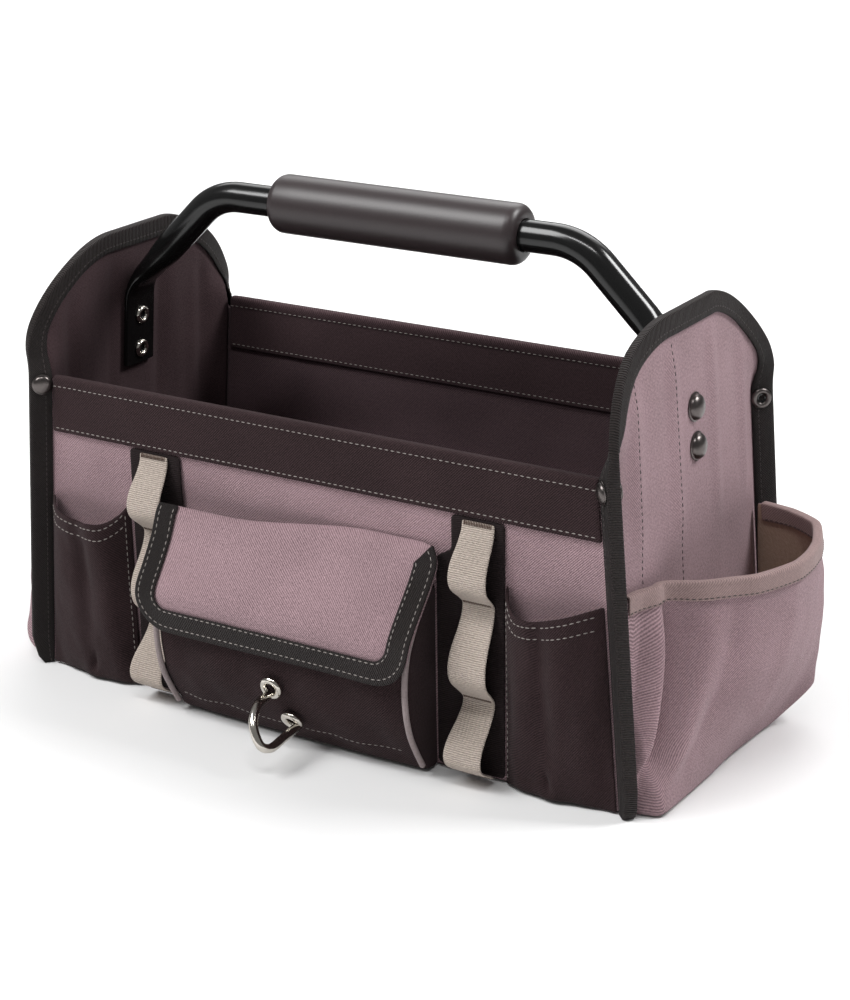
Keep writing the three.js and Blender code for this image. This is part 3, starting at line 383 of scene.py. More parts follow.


# %% [markdown]
# The tray has two long walls. At each corner the wall turns out at forty-five degrees into a seam
# that stands proud of the bag, and it meets the end panel there. The walls are grey outside and black
# inside, and the back one's inside is painted lighter as painted light. The back wall stands a little higher
# than the front one.

# %% Long walls of the tray
WALL_Y, WALL_FOOT, WALL_TOP, BACK_RISE, WALL_SHOULDER = 97.0, 1.0, 205.0, 7.0, 6.0
CORNER_X, CORNER_LEAN, SEAM_WIDTH, SEAM_TOP = 218.0, 0.0784, 13.5, 206.0
SEAM_FOOT = table("z share", (0, 0.4), (6, 0.72), (20, 1), (300, 1))
SLACK_SIZE, SLACK, SLACK_FADE, SLACK_FROM_CORNER, SLACK_TOP = 46.0, 1.3, 12.0, 25.0, 163.0
SLACK_FOOT = {"front": 128.0, "back": 8.0}
RISE_FROM = 20.0


def wall_root(z):
    return CORNER_X - CORNER_LEAN * z


def seam_share(z):
    return straight(SEAM_FOOT, "z", z, "share")


def long_wall(side, rise, slack_foot):
    def point(u, v):
        z = mix(WALL_FOOT, WALL_TOP, v)
        root = wall_root(z)
        away = SEAM_WIDTH * DIAGONAL * seam_share(z) * max(abs(u) - 1, 0)
        x = math.copysign(min(abs(u), 1) * root + away, u)
        shoulder = limit((root - abs(x)) / WALL_SHOULDER)
        lift = rise * shoulder * limit((z - RISE_FROM) / (WALL_TOP - RISE_FROM))
        loose = ease((z - slack_foot) / SLACK_FADE) * ease((SLACK_TOP - z) / SLACK_FADE)
        loose *= ease((root - abs(x)) / SLACK_FROM_CORNER)
        bow = loose * crumple((x, 300 * side, 2 * z), SLACK_SIZE, SLACK)
        return x, side * (WALL_Y + away + bow), z + lift

    return point


wall_across = steps(-2, -1, 4)[:-1] + steps(-1, 1, 56) + steps(1, 2, 4)[1:]
cloth("front_panel", wall_across, steps(0, 1, 30), long_wall(-1, 0, SLACK_FOOT["front"]), CLOTH,
      grey_canvas, black_lining, (0, -1, 0))
cloth("back_panel", wall_across, steps(0, 1, 30), long_wall(1, BACK_RISE, SLACK_FOOT["back"]), CLOTH,
      grey_canvas, back_lining_painted_light, (0, 1, 0))

# %% [markdown]
# The ends rise into arches, a little leaner at the back. A strip down the middle carries the handle,
# and a pressed crease runs down each side of it, with a second one nearer each corner, so the panel is
# drawn with its columns on those lines. The front creases are sewn. Past the corner seam the panel
# turns out to lie against the long wall, and above the tray it stands free and flares a little.

# %% End panels
END_PROFILE = table(
    "z strip crease", (0, 222, 220.5), (70, 222, 219), (140, 217, 213.5), (285, 204.5, 202.5),
)
STRIP_HALF, CREASE_AT, ROOT_AT = 26.0, 71.0, 96.0
EDGE_AT = ROOT_AT + SEAM_WIDTH
ARCH_TOP, ARCH_SPRING, ARCH_FLAT, ARCH_BEGINS = 285.0, 222.0, 30.0, 240.0
FRONT_ROUNDNESS, BACK_ROUNDNESS = 1.8, 1.5
RIDGE_HEIGHT, RIDGE_FADE, RIDGE_FOOT, RIDGE_RISE, RIDGE_BELOW_ARCH = 2.2, 9.0, 140.0, 30.0, 14.0
FOLD_SIZE, FOLD_REACH, FOLD_FOOT, FOLD_BELOW_ARCH = 26.0, 90.0, 8.0, 18.0
FADE_ACROSS, FADE_UP = 14.0, 20.0
FLARE_FROM, FLARE_RATE, FLARE_NARROWING = 60.0, 0.00245, 0.93
ENDS = {"right": 1, "left": -1}
FOLD_HEIGHT = {"right": 0.9, "left": 2.2}


def end_point(s, z):
    across = abs(s)
    strip = straight(END_PROFILE, "z", z, "strip")
    crease = straight(END_PROFILE, "z", z, "crease")
    to_crease = limit((across - STRIP_HALF) / (CREASE_AT - STRIP_HALF))
    to_root = limit((across - CREASE_AT) / (ROOT_AT - CREASE_AT))
    seam = max(across - ROOT_AT, 0) * DIAGONAL * seam_share(z)
    plain_x = mix(strip, crease, to_crease)
    low_x = mix(plain_x, wall_root(z) + LAYER * DIAGONAL, to_root) + seam
    low_y = mix(min(across, CREASE_AT), WALL_Y - LAYER * DIAGONAL, to_root) + seam
    high_x = plain_x + FLARE_RATE * max(across - FLARE_FROM, 0) ** 2
    high_y = min(across, CREASE_AT) + FLARE_NARROWING * max(across - CREASE_AT, 0)
    arch = ease((z - SEAM_TOP) / (ARCH_BEGINS - SEAM_TOP))
    return Vector((mix(low_x, high_x, arch), math.copysign(mix(low_y, high_y, arch), s), z))


def arch_roundness(s):
    return FRONT_ROUNDNESS if s < 0 else BACK_ROUNDNESS


def arch_top(s):
    bend = max(abs(s) - ARCH_FLAT, 0) / (EDGE_AT - ARCH_FLAT)
    return mix(ARCH_SPRING, ARCH_TOP, max(1 - bend ** arch_roundness(s), 0) ** (1 / arch_roundness(s)))


def turned(point, side):
    return Vector((side * point.x, point.y, point.z))


def end_cloth(side, fold_height):
    def point(s, v):
        z = mix(WALL_FOOT, arch_top(s), v)
        place = end_point(s, z)
        below_arch = arch_top(s) - z
        loose = ease((abs(s) - STRIP_HALF) / FADE_ACROSS) * ease((FOLD_REACH - abs(s)) / FADE_ACROSS)
        loose *= ease((z - FOLD_FOOT) / FADE_UP) * ease((below_arch - FOLD_BELOW_ARCH) / FADE_UP)
        place.x += loose * crumple((side * 400, 1.6 * s, 0.35 * z), FOLD_SIZE, fold_height)
        ridge = sum(limit(1 - abs(abs(s) - at) / RIDGE_FADE) for at in (STRIP_HALF, CREASE_AT))
        ridge *= ease((z - RIDGE_FOOT) / RIDGE_RISE) * ease((below_arch - RIDGE_BELOW_ARCH) / FADE_UP)
        place.x += RIDGE_HEIGHT * ridge
        return turned(place, side)

    return point


half_columns = steps(0, STRIP_HALF, 8) + steps(STRIP_HALF, CREASE_AT, 14)[1:]
half_columns += steps(CREASE_AT, ROOT_AT, 8)[1:] + [99, 102, 105, 107.5, EDGE_AT]
end_columns = [-s for s in half_columns[:0:-1]] + half_columns
for name, side in ENDS.items():
    made = end_cloth(side, FOLD_HEIGHT[name])
    panel = cloth(f"end_panel_{name}", end_columns, steps(0, 1, 56), made, CLOTH,
                  grey_canvas, black_lining, (side, 0, 0))
    for s in (-CREASE_AT, -STRIP_HALF):
        line = [(turned(end_point(s, z), side), (side, 0, 0)) for z in steps(6, arch_top(s) - 14, 40)]
        sew("dark", panel, line)

# %% [markdown]
# A ribbed tape is folded over the whole edge of each end, up one corner seam, round the arch and down
# the other. It is drawn as stations along the edge. Each station has the way in from the edge and the
# way the cloth faces, and the tape's profile is laid out in those two directions.

# %% Binding tape
BINDING_ROOT_GAP, BINDING_ARCH_LEG, BINDING_GAP, BINDING_EDGE = 0.5, 11.2, 0.7, 0.6
CLOSES_FROM, CLOSES_TO = SEAM_TOP + 2, 220.0
FOLD_STEPS, BINDING_ROWS = 6, (0.3, 2.7)


def end_normal(s, z):
    reach = 0.5 if s < 0 else -0.5
    across = end_point(s + reach, z) - end_point(s + 2 * reach, z)
    rise = end_point(s, z) - end_point(s, z - abs(reach))
    normal = across.cross(rise).normalized()
    return -normal if normal.x < 0 else normal


def binding_station(s, z):
    power = FRONT_ROUNDNESS - 1
    slope_s = max((abs(s) - ARCH_FLAT) / (EDGE_AT - ARCH_FLAT), 0) ** power / (EDGE_AT - ARCH_FLAT)
    slope_z = max((z - ARCH_SPRING) / (ARCH_TOP - ARCH_SPRING), 0) ** power / (ARCH_TOP - ARCH_SPRING)
    slope = math.hypot(slope_s, slope_z)
    closed = limit((z - CLOSES_FROM) / (CLOSES_TO - CLOSES_FROM))
    leg = mix(SEAM_WIDTH * seam_share(z) - BINDING_ROOT_GAP, BINDING_ARCH_LEG, closed)
    inner_s = s - math.copysign(slope_s / slope * (SEAM_WIDTH - BINDING_ROOT_GAP), s)
    edge = end_point(s, z)
    inward = (end_point(inner_s, z - slope_z / slope * leg) - edge).normalized()
    normal = end_normal(s, z)
    normal = (normal - inward * normal.dot(inward)).normalized()
    over = CLOTH / 2 + BINDING_GAP
    return {"edge": edge, "inward": inward, "normal": normal, "leg": leg,
            "over": over, "under": mix(over + LAYER, over, closed), "gap": BINDING_EDGE}


def folded(station, v):
    # v runs from 0 at one leg's end, through 1 to 2 round the fold, to 3 at the other leg's end
    over, under, leg, gap = (station[key] for key in ("over", "under", "leg", "gap"))
    turn = math.pi * limit(v - 1)
    height = mix(over, -under, 0.5) + (mix(over, under, 0.5) + TAPE / 2) * math.cos(turn)
    run = mix(leg, -gap, limit(v)) if v < 1.5 else mix(-gap, leg, limit(v - 2))
    run -= 0.5 * TAPE * math.sin(turn) ** 0.6 if 1 < v < 2 else 0
    return station["edge"] + station["inward"] * run + station["normal"] * height


def tape_line(stops, v, side):
    # a row of stitches along a folded tape, on its outer leg or its inner one
    outward = 1 if v < 1.5 else -1
    return [(turned(folded(stop, v), side), turned(stop["normal"] * outward, side)) for stop in stops]


fold_run = steps(0, 1, 5)[:-1] + steps(1, 2, FOLD_STEPS) + steps(2, 3, 5)[1:]
rising = [WALL_FOOT, 3, 6, 9, 13] + steps(17, 205, 50) + [207.5, 210, 212.5, 215, 217.5, 220]
arching = [EDGE_AT - (EDGE_AT - 0.02) * (1 - math.cos(a)) for a in steps(0, math.pi / 2, 60)]
front_edge = [(-EDGE_AT, z) for z in rising] + [(-s, arch_top(-s)) for s in arching]
back_edge = [(EDGE_AT, z) for z in rising] + [(s, arch_top(s)) for s in arching]
edge_path = front_edge + back_edge[-2::-1]
stations = [binding_station(s, z) for s, z in edge_path]
for name, side in ENDS.items():
    tape = cloth(f"binding_{name}", range(len(stations)), fold_run,
                 lambda k, v: turned(folded(stations[k], v), side), TAPE,
                 rib_tape, rib_tape, (side, 0, 0), levels=0)
    for v in BINDING_ROWS:
        sew("dark", tape, tape_line(stations, v, side), pitch=PITCH["tape"])

# %% [markdown]
# A band of black cloth is folded over the top of each long wall. Its edge is rolled double, so it is
# thicker there, and a pale row of stitches pulls in below the roll, with a second row at its lower edge.

# %% Top bands
BAND, BAND_DROP, BAND_END_GAP, ROLL_DEPTH, PLAIN_FROM = 1.8, 38.0, 2.2, 7.0, 190.0
ROLL_HEIGHT, PINCH_DEPTH, PINCH_WIDTH, PLAIN_PRESS = 0.7, 0.35, 1.6, 0.3
BAND_FACE = CLOTH / 2 + GAP + BAND / 2


def band_cloth(side, rise):
    top = WALL_TOP + rise - 0.6
    bottom = WALL_TOP + rise + GAP + BAND - BAND_DROP

    def point(u, v):
        turn = math.pi * limit(v - 1)
        out = BAND_FACE * math.cos(turn)
        z = mix(bottom, top, limit(v)) if v < 1.5 else mix(top, bottom, limit(v - 2))
        z += BAND_FACE * math.sin(turn)
        x = u * (wall_root(z - rise) - BAND_END_GAP)
        below = top + BAND_FACE - z
        plain_end = ease((abs(x) - PLAIN_FROM) / 5)
        roll = ROLL_HEIGHT * ease((ROLL_DEPTH - below) / 2)
        roll -= PINCH_DEPTH * math.exp(-((below - ROLL_DEPTH) / PINCH_WIDTH) ** 2)
        ripple = crumple((x, 90 * side, z), 30, 0.5) * ease(below / 20)
        puff = mix(max(roll, 0) + max(ripple, 0), -PLAIN_PRESS * limit(v) * limit(3 - v), plain_end)
        return x, side * (WALL_Y + out + math.copysign(puff, out)), z

    return point


band_run = steps(0, 1, 16)[:-1] + steps(1, 2, 8) + steps(2, 3, 16)[1:]
# The back band takes the lighter lining cloth, painted lighter against the shade that falls on it.
BANDS = {"front_band": (-1, 0, black_canvas), "back_band": (1, BACK_RISE, black_lining)}
band_half = wall_root(WALL_TOP) - BAND_END_GAP
for name, (side, rise, finish) in BANDS.items():
    band = cloth(name, steps(-1, 1, 90), band_run, band_cloth(side, rise), BAND,
                 finish, finish, (0, 0, 1))
    top = WALL_TOP + rise + GAP + BAND
    for below in (ROLL_DEPTH - 0.5, BAND_DROP - 3):
        for outward in (1, -1):
            line = [((x, side * (WALL_Y + outward * BAND_FACE), top - below), (0, side * outward, 0))
                    for x in steps(-band_half, band_half, 80)]
            sew("pale", band, line)

# %% [markdown]
# A small black pocket sits at each front corner. Its cloth is cut wider than the wall behind it, so it
# stands off in soft upright folds. A short table gives, for places across the pocket, how far it
# stands off at the hem, half way down and at the foot, and a smooth curve is read through the rows.
# The left pocket's hem drops a little to the outside.

# %% Front corner pockets
FRONT_POCKET = table(
    "across hem hem_z belly foot",
    (0, 0, 132, 0, 0),
    (0.06, 6, 125, 5, 2),
    (0.17, 14, 120, 12, 6),
    (0.33, 18, 120.5, 15, 7),
    (0.46, 17, 121, 12, 9),
    (0.6, 18, 124, 15, 5),
    (0.76, 14, 127, 12, 3),
    (0.9, 7, 129.5, 6, 0),
    (1, 0, 131, 0, 0),
)
POCKET_INNER, POCKET_OUTER_GAP, POCKET_FOOT, POCKET_RISE = 140.5, 3.0, 1.6, 1.4
HEM_DEPTH, HEM_DROP, FRONT_HEM_ROWS = 13.0, {1: 0.0, -1: 6.0}, (0.965, 0.9)
HEM_ROLL, HEM_STEP, SEWN_SIDE, SEWN_FOOT = 0.7, 1.2, 0.12, 0.1
FOOT_PLEAT = {"depth": 5.0, "foot": 0.46, "top": 0.4, "height": 0.2, "half": 0.035, "ends": 0.22}
FRONT_LIE = WALL_Y + CLOTH + GAP


def front_pocket(side):
    def point(u, v):
        columns = ("hem", "hem_z", "belly", "foot")
        hem, hem_z, belly, foot = (curved(FRONT_POCKET, "across", u, c) for c in columns)
        hem_z -= HEM_DROP[side] * u
        z = mix(POCKET_FOOT + POCKET_RISE, hem_z, v) if v >= 0 else POCKET_FOOT
        x = mix(POCKET_INNER, wall_root(z) - POCKET_OUTER_GAP, u)
        stand = mix(foot, hem, v) + 4 * v * (1 - v) * (belly - (foot + hem) / 2) if v >= 0 else 0
        inside = ease(u / SEWN_SIDE) * ease((1 - u) / SEWN_SIDE) * ease(v / SEWN_FOOT)
        stand += inside * crumple((side * x, 50, 0.28 * z), 15, 3.0)
        stand += inside * crumple((side * x, 70, 0.6 * z), 8, 0.7)
        pleat_u = mix(FOOT_PLEAT["foot"], FOOT_PLEAT["top"], v / FOOT_PLEAT["height"])
        pleat = math.exp(-((u - pleat_u) / FOOT_PLEAT["half"]) ** 2)
        pleat *= ease((FOOT_PLEAT["ends"] - v) / FOOT_PLEAT["height"])
        stand -= FOOT_PLEAT["depth"] * inside * pleat
        stand += HEM_ROLL * ease((z - hem_z + HEM_DEPTH) / HEM_STEP) * inside
        return side * x, -FRONT_LIE - max(stand, 0), z

    return point


pocket_rows = [-1] + steps(0, 1, 34)
for name, side in ENDS.items():
    made = front_pocket(side)
    pocket = cloth(f"front_pocket_{name}", steps(0, 1, 44), pocket_rows, made, CLOTH,
                   black_canvas, black_canvas, (0, -1, 0))
    for v in FRONT_HEM_ROWS:
        sew("pale", pocket, [(made(u, v), (0, -1, 0)) for u in steps(0.03, 0.97, 40)])
    sew("pale", pocket, [(made(0.035, v), (-side, -1, 0)) for v in steps(0.02, 0.98, 30)])

# %% [markdown]
# The centre pouch is a full pocket with side walls, pear-shaped from the side. Its profile is a table
# of how far it stands off at each height. Grey piping is sewn into both front edges: a cord in a strip
# of cloth, modelled as a curve with a round section and made a mesh.

# %% Centre pouch and its piping
POUCH_X = -3.0
POUCH_PROFILE = table(
    "z out",
    (2.2, 0), (3, 10), (10, 15), (20, 21), (34, 28), (50, 32),
    (66, 33), (85, 30), (100, 22), (112, 14), (120, 9),
)
POUCH_EDGE, POUCH_HALF, POUCH_MIDDLE = 91.0, 92.5, 1.15
POUCH_FRONT = table("x share", (0, POUCH_MIDDLE), (34, 1.13), (68, 1.07), (POUCH_EDGE, 1))
POUCH_LOOSE_FOOT, POUCH_LOOSE_RISE, POUCH_LOOSE_SIDE = 4.0, 10.0, 16.0
PIPING_RADIUS, PIPING_FOOT, PIPING_TOP = 1.9, 9.0, 114.0
pouch_side = [(POUCH_HALF, share) for share in steps(0, 0.93, 8)]
pouch_front = [(x, curved(POUCH_FRONT, "x", x, "share")) for x in steps(POUCH_EDGE, 0, 26)]
pouch_half = pouch_side + pouch_front
pouch_columns = [(-x, share) for x, share in pouch_half] + pouch_half[-2::-1]


def pouch_point(x, share, z):
    out = curved(POUCH_PROFILE, "z", z, "out")
    return Vector((POUCH_X + x, -(WALL_Y + CLOTH / 2 + GAP) - share * (out + CLOTH / 2), z))


def pouch_cloth(column, z):
    x, share = column
    place = pouch_point(x, share, z)
    free = limit(share) * ease((z - POUCH_LOOSE_FOOT) / POUCH_LOOSE_RISE)
    free *= ease((POUCH_HALF - abs(x)) / POUCH_LOOSE_SIDE)
    place.y -= free * (crumple((x, 20, 0.7 * z), 24, 2.0) + crumple((x, 40, z), 11, 0.7))
    return place


def pouch_facing(z):
    rise = pouch_point(0, POUCH_MIDDLE, z + 6) - pouch_point(0, POUCH_MIDDLE, z - 6)
    return Vector((0, -rise.z, rise.y)).normalized()


def cord_mesh(name, points, radius):
    data = bpy.data.curves.new(name, "CURVE")
    data.dimensions = "3D"
    data.bevel_depth = radius * MM
    data.bevel_resolution = 4
    data.use_fill_caps = True
    line = data.splines.new("POLY")
    line.points.add(len(points) - 1)
    for point, place in zip(line.points, points):
        point.co = (*(place * MM), 1)
    new_piece(name, data)
    bpy.ops.object.convert(target="MESH")
    piece = bpy.context.active_object
    piece.data.shade_smooth()
    return piece


pouch_heights = [2.2, 3, 4, 5.5, 7.5] + steps(10, 120, 40)
pouch = cloth("centre_pocket", pouch_columns, pouch_heights, pouch_cloth, CLOTH,
              black_canvas, black_canvas, (0, -1, 0))
sew("pale", pouch, [(pouch_point(x, 1.1, 15), (0, -1, 0)) for x in steps(-86, 86, 40)])
for name, side in ENDS.items():
    stand = CLOTH / 2 + GAP + PIPING_RADIUS
    path = []
    for z in steps(PIPING_FOOT, PIPING_TOP, 40):
        place = pouch_point(side * POUCH_EDGE, 1, z) + pouch_facing(z) * stand * DIAGONAL
        place.x += side * stand * DIAGONAL
        path.append(place)
    piping = cord_mesh(f"pocket_piping_{name}_cord", path, PIPING_RADIUS)
    piping.data.materials.append(piping_cloth)
    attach(piping, "root")
    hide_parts(f"pocket_piping_{name}")

# %% [markdown]
# A flap hangs over the pouch from a fold on the wall. It is drawn by its side view: a smooth run from
# the wall, out over the pouch's belly and straight down. Ribbed tape borders its two sides and its
# lower edge. It goes round the lower corners and the upper right one, and its upper left end is cut
# straight. Two pale rows of stitches hold it.

# %% Flap and its border
FLAP_RUN = [(-99.4, 147), (-103.5, 144.5), (-107.5, 138), (-114, 128), (-122, 118.5), (-132, 107),
            (-139.5, 97), (-142.2, 88), (-142, 70)]
FLAP_HALF, FLAP_CORNER, FLAP_TOP_CORNER = 101.0, 24.0, {"right": 16.0, "left": 6.0}
BORDER_WIDTH, BORDER_EDGE, BORDER_GAP = 15.0, 0.8, 0.7
BORDER_TURN, BORDER_TOP = math.radians(-55), 1.5
FLAP_PUFF, PUFF_UNDER_BORDER, PUFF_FADE, PUFF_FROM = 1.6, 4.0, 14.0, 25.0
RIPPLE_FROM, RIPPLE_GROWS, RIPPLE_SIZE, RIPPLE_HEIGHT = 20.0, 40.0, 38.0, 1.2
SLUMP_OUT, SLUMP_DOWN, SLUMP_FADES = 12.0, 6.0, 60.0


def smooth_line(knots, count):
    line = []
    for k in range(len(knots) - 1):
        a, b, c, d = (knots[min(max(k + i, 0), len(knots) - 1)] for i in (-1, 0, 1, 2))
        for t in (i / count for i in range(count)):
            line.append(0.5 * (2 * b + (c - a) * t + (2 * a - 5 * b + 4 * c - d) * t ** 2
                               + (3 * b - a - 3 * c + d) * t ** 3))
    return line + [knots[-1]]


flap_line = smooth_line([Vector((0, y, z)) for y, z in FLAP_RUN], 8)
flap_lengths = lengths(flap_line)
FLAP_LENGTH = flap_lengths[-1]


def flap_point(x, down, stand=0.0):
    k = min(max(bisect_right(flap_lengths, down) - 1, 0), len(flap_line) - 2)
    way = (flap_line[k + 1] - flap_line[k]).normalized()
    place = flap_line[k] + way * (down - flap_lengths[k])
    place = place + Vector((0, way.z, -way.y)) * stand
    ripple = ease((down - RIPPLE_FROM) / RIPPLE_GROWS) * crumple((x, 10, down), RIPPLE_SIZE, RIPPLE_HEIGHT)
    inner = ease((FLAP_HALF - BORDER_WIDTH + PUFF_UNDER_BORDER - abs(x)) / PUFF_FADE)
    inner *= ease((FLAP_LENGTH - BORDER_WIDTH + PUFF_UNDER_BORDER - down) / PUFF_FADE)
    puff = FLAP_PUFF * inner * ease(down / PUFF_FROM)
    slump = ease(0.5 - x / FLAP_HALF) * ease(1 - down / SLUMP_FADES)
    return Vector((POUCH_X + x, place.y - max(ripple, 0) - puff - SLUMP_OUT * slump,
                   place.z + 0.5 * puff - SLUMP_DOWN * slump))


def corner_loss(x, radius):
    beyond = max(abs(x) - FLAP_HALF + radius, 0)
    return radius - math.sqrt(max(radius ** 2 - beyond ** 2, 0))


def flap_cloth(u, v):
    x = u * FLAP_HALF
    top_corner = FLAP_TOP_CORNER["left" if x < 0 else "right"]
    return flap_point(x, mix(corner_loss(x, top_corner), FLAP_LENGTH - corner_loss(x, FLAP_CORNER), v))


FLAP_STRAIGHT = FLAP_HALF - FLAP_CORNER
flap_half = steps(0, FLAP_STRAIGHT, 20)[:-1]
flap_half += [FLAP_STRAIGHT + FLAP_CORNER * math.sin(a) for a in steps(0, math.pi / 2, 8)]
flap_across = [-x / FLAP_HALF for x in flap_half[:0:-1]] + [x / FLAP_HALF for x in flap_half]
cloth("pocket_flap", flap_across, steps(0, 1, 34), flap_cloth, CLOTH,
      grey_canvas, black_canvas, (0, -1, 0))


def corner_path(radius, down, turns):
    # places on the edge, each with the way in from it
    path = []
    for a in turns:
        out_x, out_down = math.cos(a), math.sin(a)
        path.append((FLAP_HALF - radius + radius * out_x, down + radius * out_down, -out_x, -out_down))
    return path


def half_border(name):
    top_corner = FLAP_TOP_CORNER[name]
    turned_in = top_corner > BORDER_WIDTH
    path = corner_path(top_corner, top_corner, steps(BORDER_TURN, 0, 8)[:-1]) if turned_in else []
    start = top_corner if turned_in else BORDER_TOP
    path += [(FLAP_HALF, down, -1, 0) for down in steps(start, FLAP_LENGTH - FLAP_CORNER, 22)[:-1]]
    path += corner_path(FLAP_CORNER, FLAP_LENGTH - FLAP_CORNER, steps(0, math.pi / 2, 12))
    return path + [(x, FLAP_LENGTH, 0, -1) for x in steps(FLAP_STRAIGHT, 0, 24)[1:]]


border_path = half_border("right")
border_path += [(-x, down, -in_x, in_down) for x, down, in_x, in_down in half_border("left")[-2::-1]]


def border_cloth(k, inset):
    x, down, in_x, in_down = border_path[k]
    return flap_point(x + in_x * inset, down + in_down * inset, CLOTH / 2 + BORDER_GAP + TAPE / 2)


border_rows = steps(-BORDER_EDGE, BORDER_WIDTH, 5)
border = cloth("flap_binding", range(len(border_path)), border_rows, border_cloth, TAPE,
               rib_tape, rib_tape, (0, -1, 0))
for inset in (2.6, BORDER_WIDTH - 2.4):
    sew("pale", border, [(border_cloth(k, inset), (0, -1, 0.3)) for k in range(len(border_path))])

# %% [markdown]
# Two straps of beige webbing run down the front over a wider flat black tape, which is cut narrower
# above the pouch. Each strap is tacked down at four places, where it is drawn in, and stands off
# between them in three loops for tools, each with its belly low. Dense brown bar tacks hold it, drawn
# as short stitches side by side.

# %% Webbing and its backing
STRAP_X, TACK_WIDTH, LOOP_WIDTH = {"right": 122.0, "left": 118.0}, 22.5, 26.5
BACKING_OUTER, BACKING_POUCH_GAP, BACKING_FOOT, BACKING_TOP = 139.0, 0.8, 3.0, 168.5
STEP_FROM, STEP_TO, BESIDE_STRAP = 140.0, 146.0, 20.0
LOOPS = [(167.5, 116, 14), (116, 54, 15), (54, 3, 21)]
LOOP_SHAPE = table(
    "share out",
    (0, 0), (0.1, 0.03), (0.25, 0.3), (0.45, 0.8), (0.62, 1), (0.78, 0.86), (0.92, 0.3), (1, 0),
)
BACKING_LIE = WALL_Y + CLOTH / 2 + GAP + WEB / 2
WEB_LIE = BACKING_LIE + WEB + GAP
LOOP_STEPS = 20


def loop_place(at):
    k = min(int(at), len(LOOPS) - 1)
    top, bottom, stand = LOOPS[k]
    share = at - k
    swell = curved(LOOP_SHAPE, "share", share, "out")
    return WEB_LIE + stand * swell, mix(top, bottom, share), mix(TACK_WIDTH, LOOP_WIDTH, swell) / 2


def backing_cloth(side, strap_x):
    inner = side * POUCH_X + POUCH_HALF + CLOTH / 2 + BACKING_POUCH_GAP

    def point(u, z):
        edge = mix(inner, strap_x - BESIDE_STRAP, limit((z - STEP_FROM) / (STEP_TO - STEP_FROM)))
        return side * mix(edge, BACKING_OUTER, u), -BACKING_LIE, z

    return point


def strap_cloth(middle):
    def point(u, at):
        out, z, half = loop_place(at)
        return middle + u * half, -out, z

    return point


loop_run = steps(0, len(LOOPS), len(LOOPS) * LOOP_STEPS)
backing_heights = steps(BACKING_FOOT, STEP_FROM, 24) + steps(STEP_FROM, STEP_TO, 4)[1:]
backing_heights += steps(STEP_TO, BACKING_TOP, 5)[1:]
for name, side in ENDS.items():
    cloth(f"web_backing_{name}", steps(0, 1, 8), backing_heights, backing_cloth(side, STRAP_X[name]), WEB,
          flat_tape, flat_tape, (0, -1, 0))
    middle = side * STRAP_X[name]
    strap = cloth(f"loop_web_{name}", steps(-1, 1, 6), loop_run, strap_cloth(middle), WEB,
                  webbing, webbing, (0, -1, 0))
    for at in (0.02, 1, 2, 2.99):
        out, z, half = loop_place(at)
        line = [((middle + x, -out, z), (0, -1, 0)) for x in steps(1 - half, half - 1, 12)]
        sew("brown", strap, line, pitch=PITCH["tack"], turn=(0, 0, 1))

# %% [markdown]
# A large pocket hangs on each end. Its cloth starts flat at the seams, swings out into a D-shaped
# mouth and narrows to the foot, and its back lower corner is lifted off the ground. The table gives
# the place and the stand-off at the hem, half way and the foot for ten lines across it. A pleat near
# the front lets it open: it runs from the hem down to the corner seam, with a deep fold between two
# soft ridges. The left pocket has sagged lower.

# %% End pockets
END_POCKET = table(
    "at hem_y hem belly foot_y foot lift slack",
    (0, -94, 4.4, 2.6, -94, 6, 0, 0),
    (1, -82, 4.6, 3.4, -93, 12, 0, 6),
    (2, -66, 6.2, 8, -90, 21, 0, 18),
    (3, -47, 25, 19, -70, 21, 0, 14),
    (4, -24, 48, 35, -38, 20, 0, 6),
    (5, 8, 60, 47, 0, 18.5, 0, 0),
    (6, 44, 58, 49, 52, 23, 0, 0),
    (7, 75, 47, 50, 76, 43, 22, 0),
    (8, 87.5, 28, 41, 87.5, 35, 26, 0),
    (9, 92, 4.4, 2.8, 92, 6, 26, 0),
)
END_POCKET_FOOT, END_POCKET_HEM, BELLY_AT, ROUNDED = 1.6, 135.0, 0.45, 0.55
SLACKNESS, SLACK_SINK = {"right": 0, "left": 1}, 0.6
PLEAT_AT_HEM, PLEAT_AT_SEAM, PLEAT_FOOT, PLEAT_CURVE = -64.0, -95.0, 0.14, 2.2
PLEAT = table("past stand", (-16, 0), (-6, 6), (-2, 2), (2, -7), (7, -7), (13, 3), (18, 6), (30, 0))
PLEAT_HEM_SHARE, PLEAT_GROWS_FROM, PLEAT_EASES_FROM = 0.35, 0.08, 0.75
CLEAR_OF_PANEL, SEWN_EDGE = 2.6, 0.8
LOOSE_FROM, LOOSE_TO, LOOSE_BELOW_HEM = 2.0, 8.6, 0.86
HEM_LEG, HEM_GAP, HEM_FROM, HEM_TO, HEM_ROWS = 10.5, 0.85, 0.15, 8.85, (0.14, 2.86)


def pleat_stand(y, v):
    sink = limit((1 - v) / (1 - PLEAT_FOOT)) ** PLEAT_CURVE
    past = y - mix(PLEAT_AT_HEM, PLEAT_AT_SEAM, sink)
    if not PLEAT["past"][0] < past < PLEAT["past"][-1]:
        return 0
    fade = ease((v - PLEAT_GROWS_FROM) / 0.2)
    fade *= mix(1, PLEAT_HEM_SHARE, ease((v - PLEAT_EASES_FROM) / (1 - PLEAT_EASES_FROM)))
    return fade * curved(PLEAT, "past", past, "stand")


